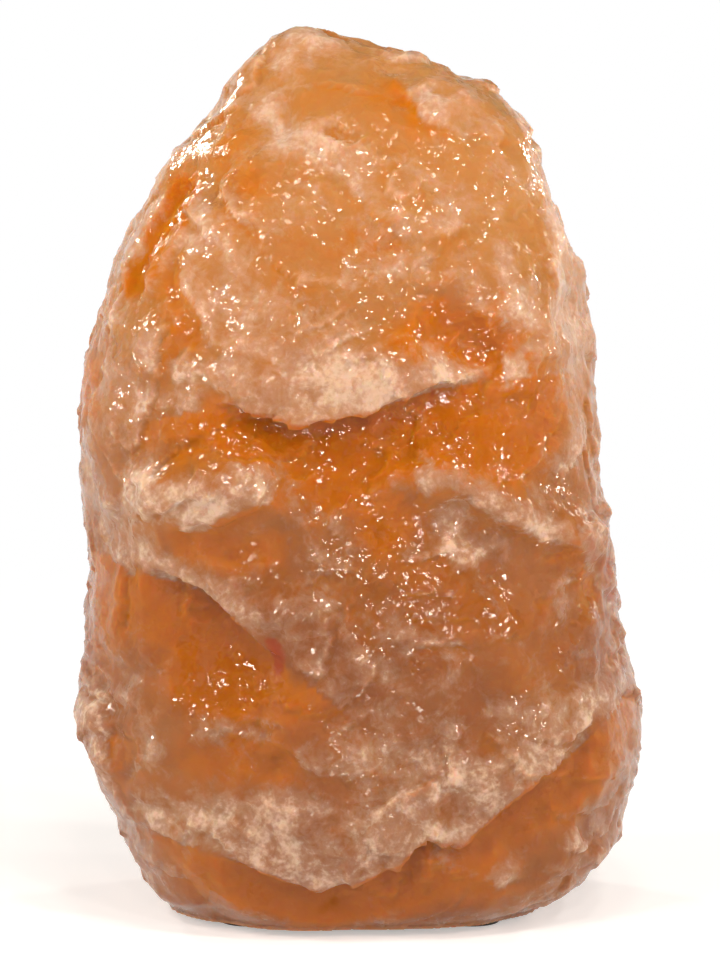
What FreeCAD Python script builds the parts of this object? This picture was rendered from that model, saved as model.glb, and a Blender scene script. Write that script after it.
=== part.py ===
"""Salt crystal lamp: a bored block of rock salt that stands over a clip-in lamp fitting.

Frame: +Z up, X to the right of the face that is seen first, -Y towards the viewer.
The origin is on the table, in the middle of the fitting's foot. All sizes are in millimetres.
"""
import FreeCAD, Part
import Sketcher
import math
import os

from FreeCAD import Placement, Rotation, Vector

# ---------------------------------------------------------------- driving dimensions
# (alias, value, what it is)
SIZES = [
    ("pad_radius", 7.5, "felt pads under the salt block"),
    ("pad_height", 2.0, "felt thickness, so the underside of the salt is this high"),
    ("pad_x", 29.0, "pads, to each side"),
    ("pad_y", 26.5, "pads, forward and back"),
    ("bore_radius", 24.0, "core-drilled bore for the bulb"),
    ("bore_top", 136.0, "blind end of the bore"),
    ("recess_radius", 31.0, "wider recess that takes the fitting's base"),
    ("recess_top", 18.0, "roof of that recess"),
    ("slot_width", 14.0, "slot sawn in the underside, from the recess to the back"),
    ("slot_top", 15.0, "roof of the slot"),
    ("foot_radius", 20.0, "anti-slip foot disc"),
    ("foot_height", 1.2, "its thickness"),
    ("base_radius", 29.0, "moulded base of the fitting"),
    ("base_top", 16.0, "its upper face"),
    ("base_wall", 2.4, "its wall and roof"),
    ("cover_radius", 26.3, "plate that closes the base from below"),
    ("cover_height", 2.0, "its thickness"),
    ("screw_circle", 23.2, "pitch radius of the three cover screws"),
    ("screw_radius", 1.4, "cover screw shank"),
    ("screw_head", 2.4, "cover screw head radius"),
    ("screw_length", 7.0, "cover screw below its head"),
    ("boss_radius", 3.7, "screw bosses inside the base"),
    ("inlet_height", 8.6, "middle of the cord inlet"),
    ("inlet_radius", 3.9, "hole in the base's wall"),
    ("inlet_bore", 2.7, "clear bore of the grommet"),
    ("inlet_lip", 4.8, "lips of the grommet"),
    ("nipple_radius", 5.0, "M10 x 1 tube that joins base and lampholder"),
    ("nipple_bore", 3.6, "its wire way"),
    ("nipple_foot", 9.2, "its lower end"),
    ("nipple_head", 24.0, "its upper end"),
    ("nut_height", 3.0, "M10 lock nut"),
    ("nut_corner", 8.08, "its corner radius, 14 mm across flats"),
    ("washer_height", 0.8, "toothed washer"),
    ("washer_radius", 8.6, "its outer radius"),
    ("strip", 0.6, "thickness of the spring steel"),
    ("strap_reach", 17.4, "half length of the clip's strap"),
    ("strap_half_width", 7.4, "half width of the strap"),
    ("pin_x", 15.6, "wing pins, from the middle"),
    ("pin_z", 18.4, "height of the wing pins"),
    ("pin_radius", 0.8, "wing pin"),
    ("eye_radius", 1.5, "rolled eye of a wing"),
    ("wing_half_width", 6.0, "half width of a wing"),
    ("spring_gap", 2.6, "half the gap in the eye, where the spring is"),
    ("touch_x", 22.8, "where a wing bears on the bore"),
    ("touch_z", 41.0, "height of that bearing line"),
    ("tip_x", 19.5, "free end of a wing"),
    ("tip_z", 51.0, "height of the free end"),
    ("hub_radius", 7.2, "hub of the lampholder's cap"),
    ("holder_radius", 13.0, "lampholder where cap and skirt meet"),
    ("holder_joint", 26.5, "height of that joint"),
    ("skirt_radius", 11.8, "upper part of the skirt"),
    ("skirt_wall", 1.6, "its wall"),
    ("skirt_top", 55.0, "its rim"),
    ("block_radius", 10.8, "ceramic contact block"),
    ("block_foot", 25.0, "its underside"),
    ("block_top", 35.0, "its upper face"),
    ("strip_height", 30.5, "middle of the terminals and contact strips"),
    ("terminal_x", 8.4, "terminals, from the middle"),
    ("pitch", 2.822, "E14 lamp thread"),
    ("cap_crest", 6.87, "bulb cap, over the crests"),
    ("cap_root", 6.12, "bulb cap, in the roots"),
    ("shell_crest", 6.27, "screw shell, over the crests"),
    ("shell_root", 7.02, "screw shell, in the roots"),
    ("shell_outside", 7.5, "screw shell, outside"),
    ("shell_flange", 9.4, "screw shell, its flange"),
    ("shell_top", 53.0, "screw shell, upper end"),
    ("shell_thread", 40.9, "lowest crest of the shell"),
    ("rivet_y", 8.3, "shell rivets, from the middle"),
    ("bulb_tip", 37.2, "underside of the bulb's contact"),
    ("bulb_cap_foot", 39.6, "lower rim of the bulb's cap"),
    ("bulb_cap_top", 56.5, "upper rim of the bulb's cap"),
    ("neck_radius", 5.5, "glass inside the cap"),
    ("neck_foot", 47.0, "lower end of the glass"),
    ("bulb_radius", 12.5, "widest part of the glass"),
    ("shoulder_foot", 57.0, "where the glass begins to widen"),
    ("shoulder_top", 70.0, "where it is widest"),
    ("crown_z", 82.0, "middle of the round crown"),
    ("glass_wall", 0.6, "bulb glass"),
    ("arch_z", 74.0, "feet of the filament's arch"),
    ("arch_radius", 7.6, "filament's arch"),
    ("wire", 0.25, "radius of the lead wires"),
    ("gap", 0.1, "clearance of pieces that sit in each other"),
]

# The salt block's girth, as read off the front view and estimated for the depth:
# height, then how far it reaches left, right, forward and back at that height.
GIRTHS = [
    (2.0, 50.5, 47.0, 47.0, 45.0),
    (8.0, 57.0, 58.5, 54.0, 50.0),
    (20.0, 62.5, 68.0, 59.5, 56.0),
    (38.0, 71.0, 73.0, 62.0, 60.0),
    (54.0, 74.0, 74.0, 62.5, 62.0),
    (70.0, 71.8, 69.5, 61.0, 61.0),
    (90.0, 71.5, 66.8, 60.5, 60.0),
    (107.0, 73.2, 63.8, 60.0, 58.0),
    (119.0, 73.6, 61.3, 59.5, 56.0),
    (134.0, 73.4, 61.8, 58.5, 54.0),
    (148.0, 71.6, 61.3, 57.0, 52.0),
    (160.0, 67.5, 60.0, 54.5, 49.0),
    (171.0, 64.0, 57.0, 51.0, 46.0),
    (186.0, 56.3, 50.8, 44.0, 41.0),
    (200.0, 48.3, 46.5, 35.5, 36.0),
    (209.0, 39.3, 41.3, 29.0, 32.0),
    (217.0, 34.3, 33.5, 21.5, 28.0),
    (224.0, 29.8, 15.0, 13.0, 22.0),
    (228.5, 24.3, 0.0, 6.5, 15.5),
    (231.5, 18.0, -13.0, 1.0, 6.0),
]
GIRTH_KEYS = ("height", "left", "right", "front", "back")
COLUMNS = 48           # facets round the block
SQUARENESS = 2.7       # 2 is an ellipse; larger has flatter faces and fuller corners
RING_STEP = 6.5        # tallest facet row
CROWN_HALF_WIDTH = 45.0  # below this half width the relief dies out towards the crown

# Broken lumps all round the skin: how many go round, how tall each is, and their relief.
LUMPS_ROUND = 17
LUMP_SIZE = 23.0
LUMP_RELIEF = 2.8
LUMP_LEAN = 1.6        # how steeply a lump's face may lean, as a share of its relief
LUMPS_AT_SIDES = 0.25  # what is left of them on the outline that the stations give

# Forms of the seen face: swells (+) and hollows (-). Each is named, then has its half width,
# its height, and the line it runs along as points: across, height above the table.
FACE_FORMS = [
    ("smooth_slab", 9.0, 1.8, [(-36.0, 180.0), (-34.0, 168.0), (-27.0, 160.0)]),
    ("top_step", 7.0, 2.0, [(30.0, 200.0), (18.0, 204.0), (14.0, 214.0)]),
    ("top_hollow", 8.0, -1.8, [(-12.0, 214.0), (2.0, 210.0)]),
    ("brow", 8.0, 1.8, [(-24.0, 148.0), (-6.0, 149.0), (12.0, 150.0)]),
    ("well", 9.0, -3.2, [(22.0, 159.0), (33.0, 156.0)]),
    ("well_wall", 6.5, 2.2, [(38.0, 166.0), (45.0, 156.0), (43.0, 146.0)]),
    ("slanting_ridge", 7.0, 3.0, [(10.0, 121.0), (24.0, 121.0), (37.0, 114.0), (58.0, 103.0)]),
    ("under_the_ridge", 7.0, -2.2, [(12.0, 109.0), (28.0, 101.0), (44.0, 92.0)]),
    ("heart", 8.0, -2.4, [(-8.0, 114.0), (4.0, 108.0)]),
    ("cheek_cloud", 8.5, 2.6, [(-50.0, 114.0), (-38.0, 116.0), (-26.0, 121.0)]),
    ("lens", 7.0, -2.0, [(-42.0, 103.0), (-26.0, 103.0)]),
    ("middle_plate", 9.0, 2.0, [(0.0, 82.0), (16.0, 74.0), (32.0, 72.0)]),
    ("left_plate", 8.0, 1.6, [(-54.0, 142.0), (-48.0, 132.0)]),
    ("patches", 8.0, 1.8, [(-36.0, 57.0), (-14.0, 63.0)]),
    ("low_band", 8.0, -2.4, [(-42.0, 47.0), (-20.0, 45.0)]),
    ("low_haze", 9.0, 2.2, [(-26.0, 31.0), (-4.0, 32.0), (18.0, 38.0), (38.0, 46.0)]),
    ("low_right_hollow", 8.0, -2.0, [(34.0, 62.0), (50.0, 68.0)]),
]

# Ledges: steps in the salt where a layer overhangs a broken hollow. Each is named, then has
# the direction it faces (0 is the front, 90 the right side), the way the hollow falls from
# the lip (-90 is down), and its lip as points: across, height, depth of hollow, length of fall.
LEDGES = [
    ("brow_ledge", 0, -90, [
        (-39.0, 139.5, -1.0, 10.0),
        (-34.5, 140.0, 5.0, 16.0),
        (-26.0, 137.5, 9.0, 22.0),
        (-16.0, 134.5, 11.0, 26.0),
        (-7.0, 136.5, 11.5, 28.0),
        (2.0, 138.0, 11.0, 28.0),
        (11.0, 141.5, 10.0, 28.0),
        (20.5, 144.5, 8.0, 27.0),
        (28.0, 145.5, 4.5, 24.0),
        (36.0, 147.0, -1.0, 14.0),
    ]),
    ("cheek_ledge", 0, -90, [
        (-58.0, 97.5, -1.0, 10.0),
        (-53.0, 96.0, 4.0, 24.0),
        (-46.0, 93.5, 8.0, 38.0),
        (-37.0, 89.5, 9.5, 42.0),
        (-30.0, 83.0, 8.5, 38.0),
        (-24.0, 77.0, 6.0, 32.0),
        (-16.0, 71.0, -1.0, 14.0),
    ]),
    ("chin_ledge", 0, -90, [
        (-39.0, 24.0, -1.0, 8.0),
        (-33.5, 22.5, 3.5, 13.0),
        (-22.0, 18.0, 6.0, 13.0),
        (-11.0, 13.5, 6.5, 10.0),
        (-1.0, 16.0, 7.0, 12.5),
        (10.0, 21.5, 7.5, 17.0),
        (17.0, 28.0, 7.0, 21.0),
        (27.0, 27.0, 5.5, 19.0),
        (36.0, 35.0, 7.0, 25.0),
        (46.0, 43.0, 7.5, 31.0),
        (55.0, 49.5, 5.0, 30.0),
        (62.0, 57.0, -1.0, 16.0),
    ]),
    ("temple_cleft", -45, 180, [
        (-12.0, 160.0, -1.0, 7.0),
        (-14.0, 168.0, 5.0, 10.0),
        (-15.5, 176.0, 7.0, 12.0),
        (-15.0, 186.0, 6.5, 11.0),
        (-17.0, 195.0, 4.0, 8.0),
        (-18.0, 202.0, -1.0, 6.0),
    ]),
    ("right_flank", 124, -90, [
        (-32.0, 112.0, -1.0, 10.0),
        (-20.0, 108.0, 5.0, 26.0),
        (-4.0, 103.0, 8.0, 34.0),
        (12.0, 107.0, 7.0, 30.0),
        (26.0, 115.0, -1.0, 16.0),
    ]),
    ("left_flank", -120, -90, [
        (-30.0, 74.0, -1.0, 12.0),
        (-16.0, 70.0, 5.5, 26.0),
        (2.0, 64.0, 7.5, 32.0),
        (18.0, 68.0, 6.0, 28.0),
        (30.0, 74.0, -1.0, 14.0),
    ]),
    ("back_upper", 176, -90, [
        (-42.0, 150.0, -1.0, 12.0),
        (-28.0, 153.0, 6.0, 28.0),
        (-8.0, 147.0, 9.0, 36.0),
        (12.0, 142.0, 8.0, 32.0),
        (30.0, 146.0, 4.0, 22.0),
        (42.0, 150.0, -1.0, 12.0),
    ]),
    ("back_lower", 190, -90, [
        (-48.0, 70.0, -1.0, 12.0),
        (-32.0, 66.0, 6.0, 28.0),
        (-12.0, 72.0, 9.0, 36.0),
        (8.0, 80.0, 9.0, 38.0),
        (26.0, 84.0, 5.0, 26.0),
        (40.0, 82.0, -1.0, 12.0),
    ]),
]
UNDERCUT = 2.0         # how far the roof of a hollow rises behind its lip

# Broken flats: the direction each faces, its tilt above level, and its distance from the
# block's middle at FLAT_LEVEL above the table.
FLAT_LEVEL = 115.0
FLATS = [
    ("flat_right_rear", 132, 7, 61.0),
    ("flat_left_rear", -138, 5, 63.0),
    ("flat_back_top", 176, 36, 82.0),
    ("flat_right_top", 62, 30, 92.0),
    ("flat_right_front", 73, 8, 64.5),
]


# ---------------------------------------------------------------- document and sheet
doc = FreeCAD.newDocument("salt_crystal_lamp")
sheet = doc.addObject("Spreadsheet::Sheet", "Sizes")


def fill_sheet():
    """Every driving dimension gets a row: its meaning, its number, and the number's alias."""
    rows = list(SIZES)
    for n, girth in enumerate(GIRTHS):
        for key, value in zip(GIRTH_KEYS, girth):
            rows.append(("girth_%02d_%s" % (n, key), value, "salt block, station %d" % n))
    for n, (alias, value, meaning) in enumerate(rows, start=1):
        sheet.set("A%d" % n, meaning)
        sheet.set("B%d" % n, str(value))
        sheet.setAlias("B%d" % n, alias)
    doc.recompute()


def size(alias):
    """The number in the sheet under this alias."""
    return float(sheet.get(alias))


def cell(expression):
    """The expression with each alias pointed at the sheet."""
    words = str(expression).split()
    return " ".join("Sizes." + word if word[0].isalpha() else word for word in words)


# ---------------------------------------------------------------- sketching helpers
def origin_feature(body, role):
    for feature in body.Origin.OriginFeatures:
        if feature.Role == role:
            return feature
    raise ValueError("no origin feature named " + role)


def new_body(label):
    body = doc.addObject("PartDesign::Body", label)
    body.Label = label
    return body


def new_sketch(body, name, role="XZ_Plane", up=None, out=None):
    """A sketch on an origin plane, moved 'up' in its own plane and 'out' along its normal."""
    sketch = body.newObject("Sketcher::SketchObject", name)
    sketch.AttachmentSupport = [(origin_feature(body, role), "")]
    sketch.MapMode = "FlatFace"
    if up:
        sketch.setExpression(".AttachmentOffset.Base.y", cell(up))
    if out:
        sketch.setExpression(".AttachmentOffset.Base.z", cell(out))
    return sketch


def pin_point(sketch, geometry, vertex, x, y):
    """Holds one sketch point at (x, y), each of them an expression on the sheet."""
    for kind, expression in (("DistanceX", x), ("DistanceY", y)):
        index = sketch.addConstraint(Sketcher.Constraint(kind, -1, 1, geometry, vertex, 1.0))
        sketch.setExpression("Constraints[%d]" % index, cell(expression))


def outline(sketch, points):
    """A closed run of straight lines through points, each (x expression, y expression)."""
    first = sketch.GeometryCount
    count = len(points)
    corners = []
    for n in range(count):
        a = 2 * math.pi * n / count
        corners.append(Vector(20 + 10 * math.cos(a), 20 + 10 * math.sin(a), 0))
    for n in range(count):
        sketch.addGeometry(Part.LineSegment(corners[n], corners[(n + 1) % count]))
    for n in range(count):
        after = first + (n + 1) % count
        sketch.addConstraint(Sketcher.Constraint("Coincident", first + n, 2, after, 1))
    for n, (x, y) in enumerate(points):
        pin_point(sketch, first + n, 1, x, y)


def box(sketch, x0, x1, y0, y1):
    outline(sketch, [(x0, y0), (x1, y0), (x1, y1), (x0, y1)])


def circle(sketch, x, y, radius):
    """A circle whose middle and radius are expressions on the sheet."""
    index = sketch.addGeometry(Part.Circle(Vector(3, 3, 0), Vector(0, 0, 1), 1.0))
    pin_point(sketch, index, 3, x, y)
    constraint = sketch.addConstraint(Sketcher.Constraint("Radius", index, 1.0))
    sketch.setExpression("Constraints[%d]" % constraint, cell(radius))


# ---------------------------------------------------------------- features
def revolve(body, sketch, kind="Revolution", axis="V_Axis"):
    """A full turn of a sketch about one of its own axes: Revolution adds and Groove cuts."""
    before = body.Shape.Volume if kind == "Groove" else 0.0
    feature = body.newObject("PartDesign::" + kind, sketch.Name + "_" + kind.lower())
    feature.Profile = sketch
    feature.ReferenceAxis = (sketch, [axis])
    feature.Angle = 360.0
    doc.recompute()
    if kind == "Groove" and not body.Shape.Volume < before:
        raise ValueError(sketch.Name + " cut nothing")
    return feature


def pad(body, sketch, length, both_ways=False):
    feature = body.newObject("PartDesign::Pad", sketch.Name + "_pad")
    feature.Profile = sketch
    feature.setExpression("Length", cell(length))
    feature.Midplane = both_ways
    doc.recompute()
    return feature


def pocket(body, sketch, length=None, reverse=False, both_ways=False):
    """Cuts a sketch's outline out, right through when no length is given, and proves it."""
    before = body.Shape.Volume
    feature = body.newObject("PartDesign::Pocket", sketch.Name + "_pocket")
    feature.Profile = sketch
    if length:
        feature.setExpression("Length", cell(length))
    else:
        feature.Type = 1
    feature.Reversed = reverse
    feature.Midplane = both_ways
    doc.recompute()
    if not body.Shape.Volume < before:
        raise ValueError(sketch.Name + " cut nothing")
    return feature


def round_pattern(body, feature, count):
    """Repeats a feature round the Z axis."""
    pattern = body.newObject("PartDesign::PolarPattern", feature.Name + "_round")
    pattern.Originals = [feature]
    pattern.Axis = (origin_feature(body, "Z_Axis"), [""])
    pattern.Angle = 360.0
    pattern.Occurrences = count
    body.Tip = pattern
    doc.recompute()
    return pattern


def row_pattern(body, feature, count, step, role="Z_Axis"):
    """Repeats a feature along an axis, one step apart."""
    pattern = body.newObject("PartDesign::LinearPattern", feature.Name + "_row")
    pattern.Originals = [feature]
    pattern.Direction = (origin_feature(body, role), [""])
    pattern.setExpression("Length", cell("%s * %d" % (step, count - 1)))
    pattern.Occurrences = count
    body.Tip = pattern
    doc.recompute()
    return pattern


def turned(label, points, role="XZ_Plane", axis="V_Axis", up=None):
    """A round piece: one outline revolved about an axis of its own sketch."""
    body = new_body(label)
    sketch = new_sketch(body, label + "_outline", role, up)
    outline(sketch, points)
    revolve(body, sketch, axis=axis)
    return body


# ---------------------------------------------------------------- primitives and groups
def place(piece, x, y, z):
    for axis, expression in (("x", x), ("y", y), ("z", z)):
        piece.setExpression(".Placement.Base." + axis, cell(expression))


def cylinder(name, radius, height, x="0", y="0", z="0"):
    """A Part cylinder, standing on (x, y, z), with every size an expression."""
    piece = doc.addObject("Part::Cylinder", name)
    piece.setExpression("Radius", cell(radius))
    piece.setExpression("Height", cell(height))
    place(piece, x, y, z)
    return piece


def brick(name, length, width, height, x, y, z):
    """A Part box whose least corner is (x, y, z)."""
    piece = doc.addObject("Part::Box", name)
    piece.setExpression("Length", cell(length))
    piece.setExpression("Width", cell(width))
    piece.setExpression("Height", cell(height))
    place(piece, x, y, z)
    return piece


def rod(name, radius, start, end):
    """A straight round wire between two points."""
    piece = doc.addObject("Part::Cylinder", name)
    piece.setExpression("Radius", cell(radius))
    piece.Height = start.distanceToPoint(end)
    piece.Placement = Placement(start, Rotation(Vector(0, 0, 1), end - start))
    return piece


def combine(kind, label, base, tool):
    """Part::Cut or Part::Fuse of two objects."""
    result = doc.addObject("Part::" + kind, label)
    result.Label = label
    result.Base = base
    result.Tool = tool
    result.Refine = False
    return result


def fuse_all(label, pieces):
    result = doc.addObject("Part::MultiFuse", label)
    result.Label = label
    result.Shapes = pieces
    result.Refine = False
    return result


def group(label, pieces):
    """Like pieces that share a node, each still its own solid."""
    result = doc.addObject("Part::Compound", label)
    result.Label = label
    result.Links = pieces
    return result


def mirrored(label, source):
    """The same piece on the other side of the YZ plane."""
    result = doc.addObject("Part::Mirroring", label)
    result.Label = label
    result.Source = source
    result.Base = (0, 0, 0)
    result.Normal = (1, 0, 0)
    return result


def from_shape(label, shape):
    """An object whose shape is worked out here from the sheet's numbers."""
    piece = doc.addObject("Part::Feature", label)
    piece.Label = label
    piece.Shape = shape
    return piece


# ---------------------------------------------------------------- the salt block
def girth_rows():
    """The stations, read back from the sheet."""
    rows = []
    for n in range(len(GIRTHS)):
        rows.append([size("girth_%02d_%s" % (n, key)) for key in GIRTH_KEYS])
    return rows


def girth_at(rows, z):
    """The block's middle and half widths at height z, straight between the stations."""
    z = min(max(z, rows[0][0]), rows[-1][0])
    n = max(i for i in range(len(rows) - 1) if rows[i][0] <= z)
    low, high = rows[n], rows[n + 1]
    share = (z - low[0]) / (high[0] - low[0])
    left, right, front, back = [a + (b - a) * share for a, b in zip(low[1:], high[1:])]
    return (right - left) / 2, (back - front) / 2, (right + left) / 2, (back + front) / 2


def swell(angle, z):
    """Slow swells of the broken surface, in mm: waves that close on themselves round the block."""
    return (0.9 * math.sin(3 * angle + 0.055 * z + 0.7)
            + 0.8 * math.sin(5 * angle - 0.083 * z + 2.1)
            + 0.7 * math.sin(8 * angle + 0.14 * z + 4.0)
            + 0.5 * math.sin(13 * angle - 0.21 * z + 1.3))


def scatter(column, row, use):
    """A share from 0 to 1 for each cell and use: it looks random, and is always the same."""
    number = column * 7919 + row * 104729 + use * 1299709
    return (number * number // 7 + number * 31) % 9973 / 9973


def lump(angle, z):
    """The broken lumps, in mm: each cell of a jittered grid stands and leans its own way."""
    around = angle / (2 * math.pi) * LUMPS_ROUND % LUMPS_ROUND
    up = z / LUMP_SIZE
    nearest = None
    for column in range(math.floor(around) - 1, math.floor(around) + 2):
        for row in range(math.floor(up) - 1, math.floor(up) + 2):
            cell = (column % LUMPS_ROUND, row)
            across = around - column - scatter(*cell, 0)
            rise = up - row - scatter(*cell, 1)
            distance = math.hypot(across, rise)
            if nearest is None or distance < nearest[0]:
                nearest = (distance, cell, across, rise)
    _, cell, across, rise = nearest
    height = scatter(*cell, 2) - 0.5
    height += LUMP_LEAN * ((scatter(*cell, 3) - 0.5) * across + (scatter(*cell, 4) - 0.5) * rise)
    return LUMP_RELIEF * height


def face_form(x, z):
    """How far the forms of the seen face swell or sink at a place, in mm."""
    place = Vector(x, 0, z)
    lift = 0.0
    for _, half_width, height, line in FACE_FORMS:
        run = Part.makePolygon([Vector(across, 0, level) for across, level in line])
        away = run.distToShape(Part.Vertex(place))[0]
        lift += height * math.exp(-(away / half_width) ** 2)
    return lift


def skin_point(rows, angle, z):
    """A point of the skin: a squared ellipse through the four reaches, plus the relief."""
    middle_x, middle_y, half_x, half_y = girth_at(rows, z)
    c, s = math.cos(angle), math.sin(angle)
    out = (abs(c) ** SQUARENESS + abs(s) ** SQUARENESS) ** (-1.0 / SQUARENESS)
    away = Vector(half_x * c * out, half_y * s * out, 0)
    # The relief dies out at the crown, and at the sides, where the stations were measured.
    off_side = abs(s) ** 0.7
    lift = swell(angle, z) * off_side
    lift += lump(angle, z) * (LUMPS_AT_SIDES + (1 - LUMPS_AT_SIDES) * off_side)
    if s < 0:
        lift += face_form(middle_x + away.x, z) * off_side
    lift *= min(1.0, half_x / CROWN_HALF_WIDTH)
    return Vector(middle_x, middle_y, z) + away * (1.0 + lift / away.Length)


def reach(rows, facing, across, z):
    """The point of the skin that is 'across' sideways when the block is seen from 'facing'."""
    middle_x, middle_y, half_x, half_y = girth_at(rows, z)
    middle = Vector(middle_x, middle_y, z)
    outward = Vector(math.sin(facing), -math.cos(facing), 0)
    sideways = Vector(math.cos(facing), math.sin(facing), 0)
    near, far = 0.0, 120.0
    for _ in range(30):
        half_way = (near + far) / 2
        p = sideways * across + outward * half_way + Vector(0, 0, z)
        angle = math.atan2((p.y - middle_y) / half_y, (p.x - middle_x) / half_x)
        skin = skin_point(rows, angle, z)
        if p.distanceToPoint(middle) < skin.distanceToPoint(middle):
            near = half_way
        else:
            far = half_way
    return sideways * across + outward * near + Vector(0, 0, z)


def faceted(triangles):
    """A closed solid from triangles of points."""
    shell = Part.Shell([Part.Face(Part.makePolygon([a, b, c, a])) for a, b, c in triangles])
    solid = Part.Solid(shell)
    if solid.Volume < 0:
        solid.reverse()
    return solid


def strip_between(below, above):
    """Triangles between two closed rings that have the same number of points."""
    count = len(below)
    triangles = []
    for n in range(count):
        a, b = below[n], below[(n + 1) % count]
        c, d = above[(n + 1) % count], above[n]
        if n % 2:
            triangles += [(a, b, c), (a, c, d)]
        else:
            triangles += [(a, b, d), (b, c, d)]
    return triangles


def raw_block(rows):
    """The salt before it is broken and bored: facets between level rings, closed by two fans."""
    heights = []
    for low, high in zip(rows, rows[1:]):
        steps = max(1, math.ceil((high[0] - low[0]) / RING_STEP))
        heights += [low[0] + (high[0] - low[0]) * n / steps for n in range(steps)]
    heights.append(rows[-1][0])
    rings = []
    for z in heights:
        rings.append([skin_point(rows, 2 * math.pi * n / COLUMNS, z) for n in range(COLUMNS)])
    triangles = []
    for below, above in zip(rings, rings[1:]):
        triangles += strip_between(below, above)
    foot = sum(rings[0], Vector()) * (1.0 / COLUMNS)
    crown = sum(rings[-1], Vector()) * (1.0 / COLUMNS)
    for n in range(COLUMNS):
        after = (n + 1) % COLUMNS
        triangles.append((rings[0][after], rings[0][n], foot))
        triangles.append((rings[-1][n], rings[-1][after], crown))
    return faceted(triangles)


def ledge_wedge(rows, facing_degrees, fall_degrees, lip):
    """What is broken out under a lip: a triangle at each point of the lip, joined up."""
    facing, fall = math.radians(facing_degrees), math.radians(fall_degrees)
    outward = Vector(math.sin(facing), -math.cos(facing), 0)
    sideways = Vector(math.cos(facing), math.sin(facing), 0)
    along = sideways * math.cos(fall) + Vector(0, 0, 1) * math.sin(fall)
    rings = []
    for across, z, depth, drop in lip:
        edge = reach(rows, facing, across, z)
        end = reach(rows, facing, across + drop * math.cos(fall), z + drop * math.sin(fall))
        if depth < 0:
            heel = edge + outward * 1.5
            above = edge + outward * 8.0
            below = end + outward * 3.0
        else:
            heel = edge - outward * depth - along * UNDERCUT
            above = edge + (edge - heel) * (8.0 / edge.distanceToPoint(heel))
            below = end + (end - heel) * 0.3 + outward * 2.0
        rings.append([above, heel, below])
    triangles = [tuple(rings[0])]
    for start, stop in zip(rings, rings[1:]):
        triangles += strip_between(start, stop)
    triangles.append(tuple(reversed(rings[-1])))
    return faceted(triangles)


def flat_slab(name, facing_degrees, tilt_degrees, distance):
    """A slab whose inner face is the flat."""
    side = 300.0
    slab = doc.addObject("Part::Box", name)
    slab.Length = slab.Width = side
    slab.Height = 100.0
    lean = Rotation(Vector(1, 0, 0), 90 - tilt_degrees)
    turn = Rotation(Vector(0, 0, 1), facing_degrees).multiply(lean)
    corner = turn.multVec(Vector(-side / 2, -side / 2, distance))
    slab.Placement = Placement(corner + Vector(0, 0, FLAT_LEVEL), turn)
    return slab


def salt_crystal():
    rows = girth_rows()
    block = from_shape("raw_block", raw_block(rows))
    away = []
    for name, facing, fall, lip in LEDGES:
        away.append(from_shape(name, ledge_wedge(rows, facing, fall, lip)))
    for name, facing, tilt, distance in FLATS:
        away.append(flat_slab(name, facing, tilt, distance))
    away.append(cylinder("bore", "bore_radius", "bore_top - pad_height + 1", z="pad_height - 1"))
    away.append(cylinder("recess", "recess_radius", "recess_top - pad_height + 1",
                         z="pad_height - 1"))
    away.append(brick("cord_slot", "slot_width", "80", "slot_top - pad_height + 1",
                      "0 - slot_width / 2", "0", "pad_height - 1"))
    return combine("Cut", "salt_crystal", block, fuse_all("broken_and_bored_away", away))


def felt_pads():
    pads = []
    for n, (x, y) in enumerate((("0 - pad_x", "0 - pad_y"), ("pad_x", "0 - pad_y"),
                                ("0 - pad_x", "pad_y"), ("pad_x", "pad_y"))):
        pads.append(cylinder("felt_pad_%d" % n, "pad_radius", "pad_height", x, y))
    return group("felt_pads", pads)


# ---------------------------------------------------------------- the fitting's base
def foot_disc():
    return turned("foot_disc", [
        ("0", "0"),
        ("foot_radius - 0.5", "0"),
        ("foot_radius", "0.5"),
        ("foot_radius", "foot_height"),
        ("0", "foot_height"),
    ])


def base_cover():
    """The plate under the base, with three counterbored screw holes."""
    body = turned("base_cover", [
        ("0", "foot_height"),
        ("cover_radius", "foot_height"),
        ("cover_radius", "foot_height + cover_height"),
        ("0", "foot_height + cover_height"),
    ])
    hole = new_sketch(body, "cover_hole", "XY_Plane")
    circle(hole, "0", "0 - screw_circle", "screw_radius + gap")
    round_pattern(body, pocket(body, hole, both_ways=True), 3)
    seat = new_sketch(body, "cover_seat", "XY_Plane", out="foot_height + 1.1")
    circle(seat, "0", "0 - screw_circle", "screw_head + gap")
    round_pattern(body, pocket(body, seat, "cover_height"), 3)
    return body


def socket_base():
    """A moulded cup, open below: its roof carries the lampholder, its wall the cord inlet."""
    body = turned("socket_base", [
        ("cover_radius + 0.3", "foot_height"),
        ("base_radius", "foot_height"),
        ("base_radius", "base_top - 1.5"),
        ("base_radius - 1.5", "base_top"),
        ("nipple_radius + gap", "base_top"),
        ("nipple_radius + gap", "base_top - base_wall"),
        ("cover_radius + 0.3", "base_top - base_wall"),
    ])
    boss = new_sketch(body, "boss", "XY_Plane", out="foot_height + cover_height")
    circle(boss, "0", "0 - screw_circle", "boss_radius")
    height = "base_top - foot_height - cover_height - 1"
    round_pattern(body, pad(body, boss, height), 3)
    pilot = new_sketch(body, "pilot", "XY_Plane", out="foot_height + cover_height - 1")
    circle(pilot, "0", "0 - screw_circle", "screw_radius + gap / 2")
    round_pattern(body, pocket(body, pilot, "screw_length + 1", reverse=True), 3)
    inlet = new_sketch(body, "inlet")
    circle(inlet, "0", "inlet_height", "inlet_radius")
    pocket(body, inlet)
    return body


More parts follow.
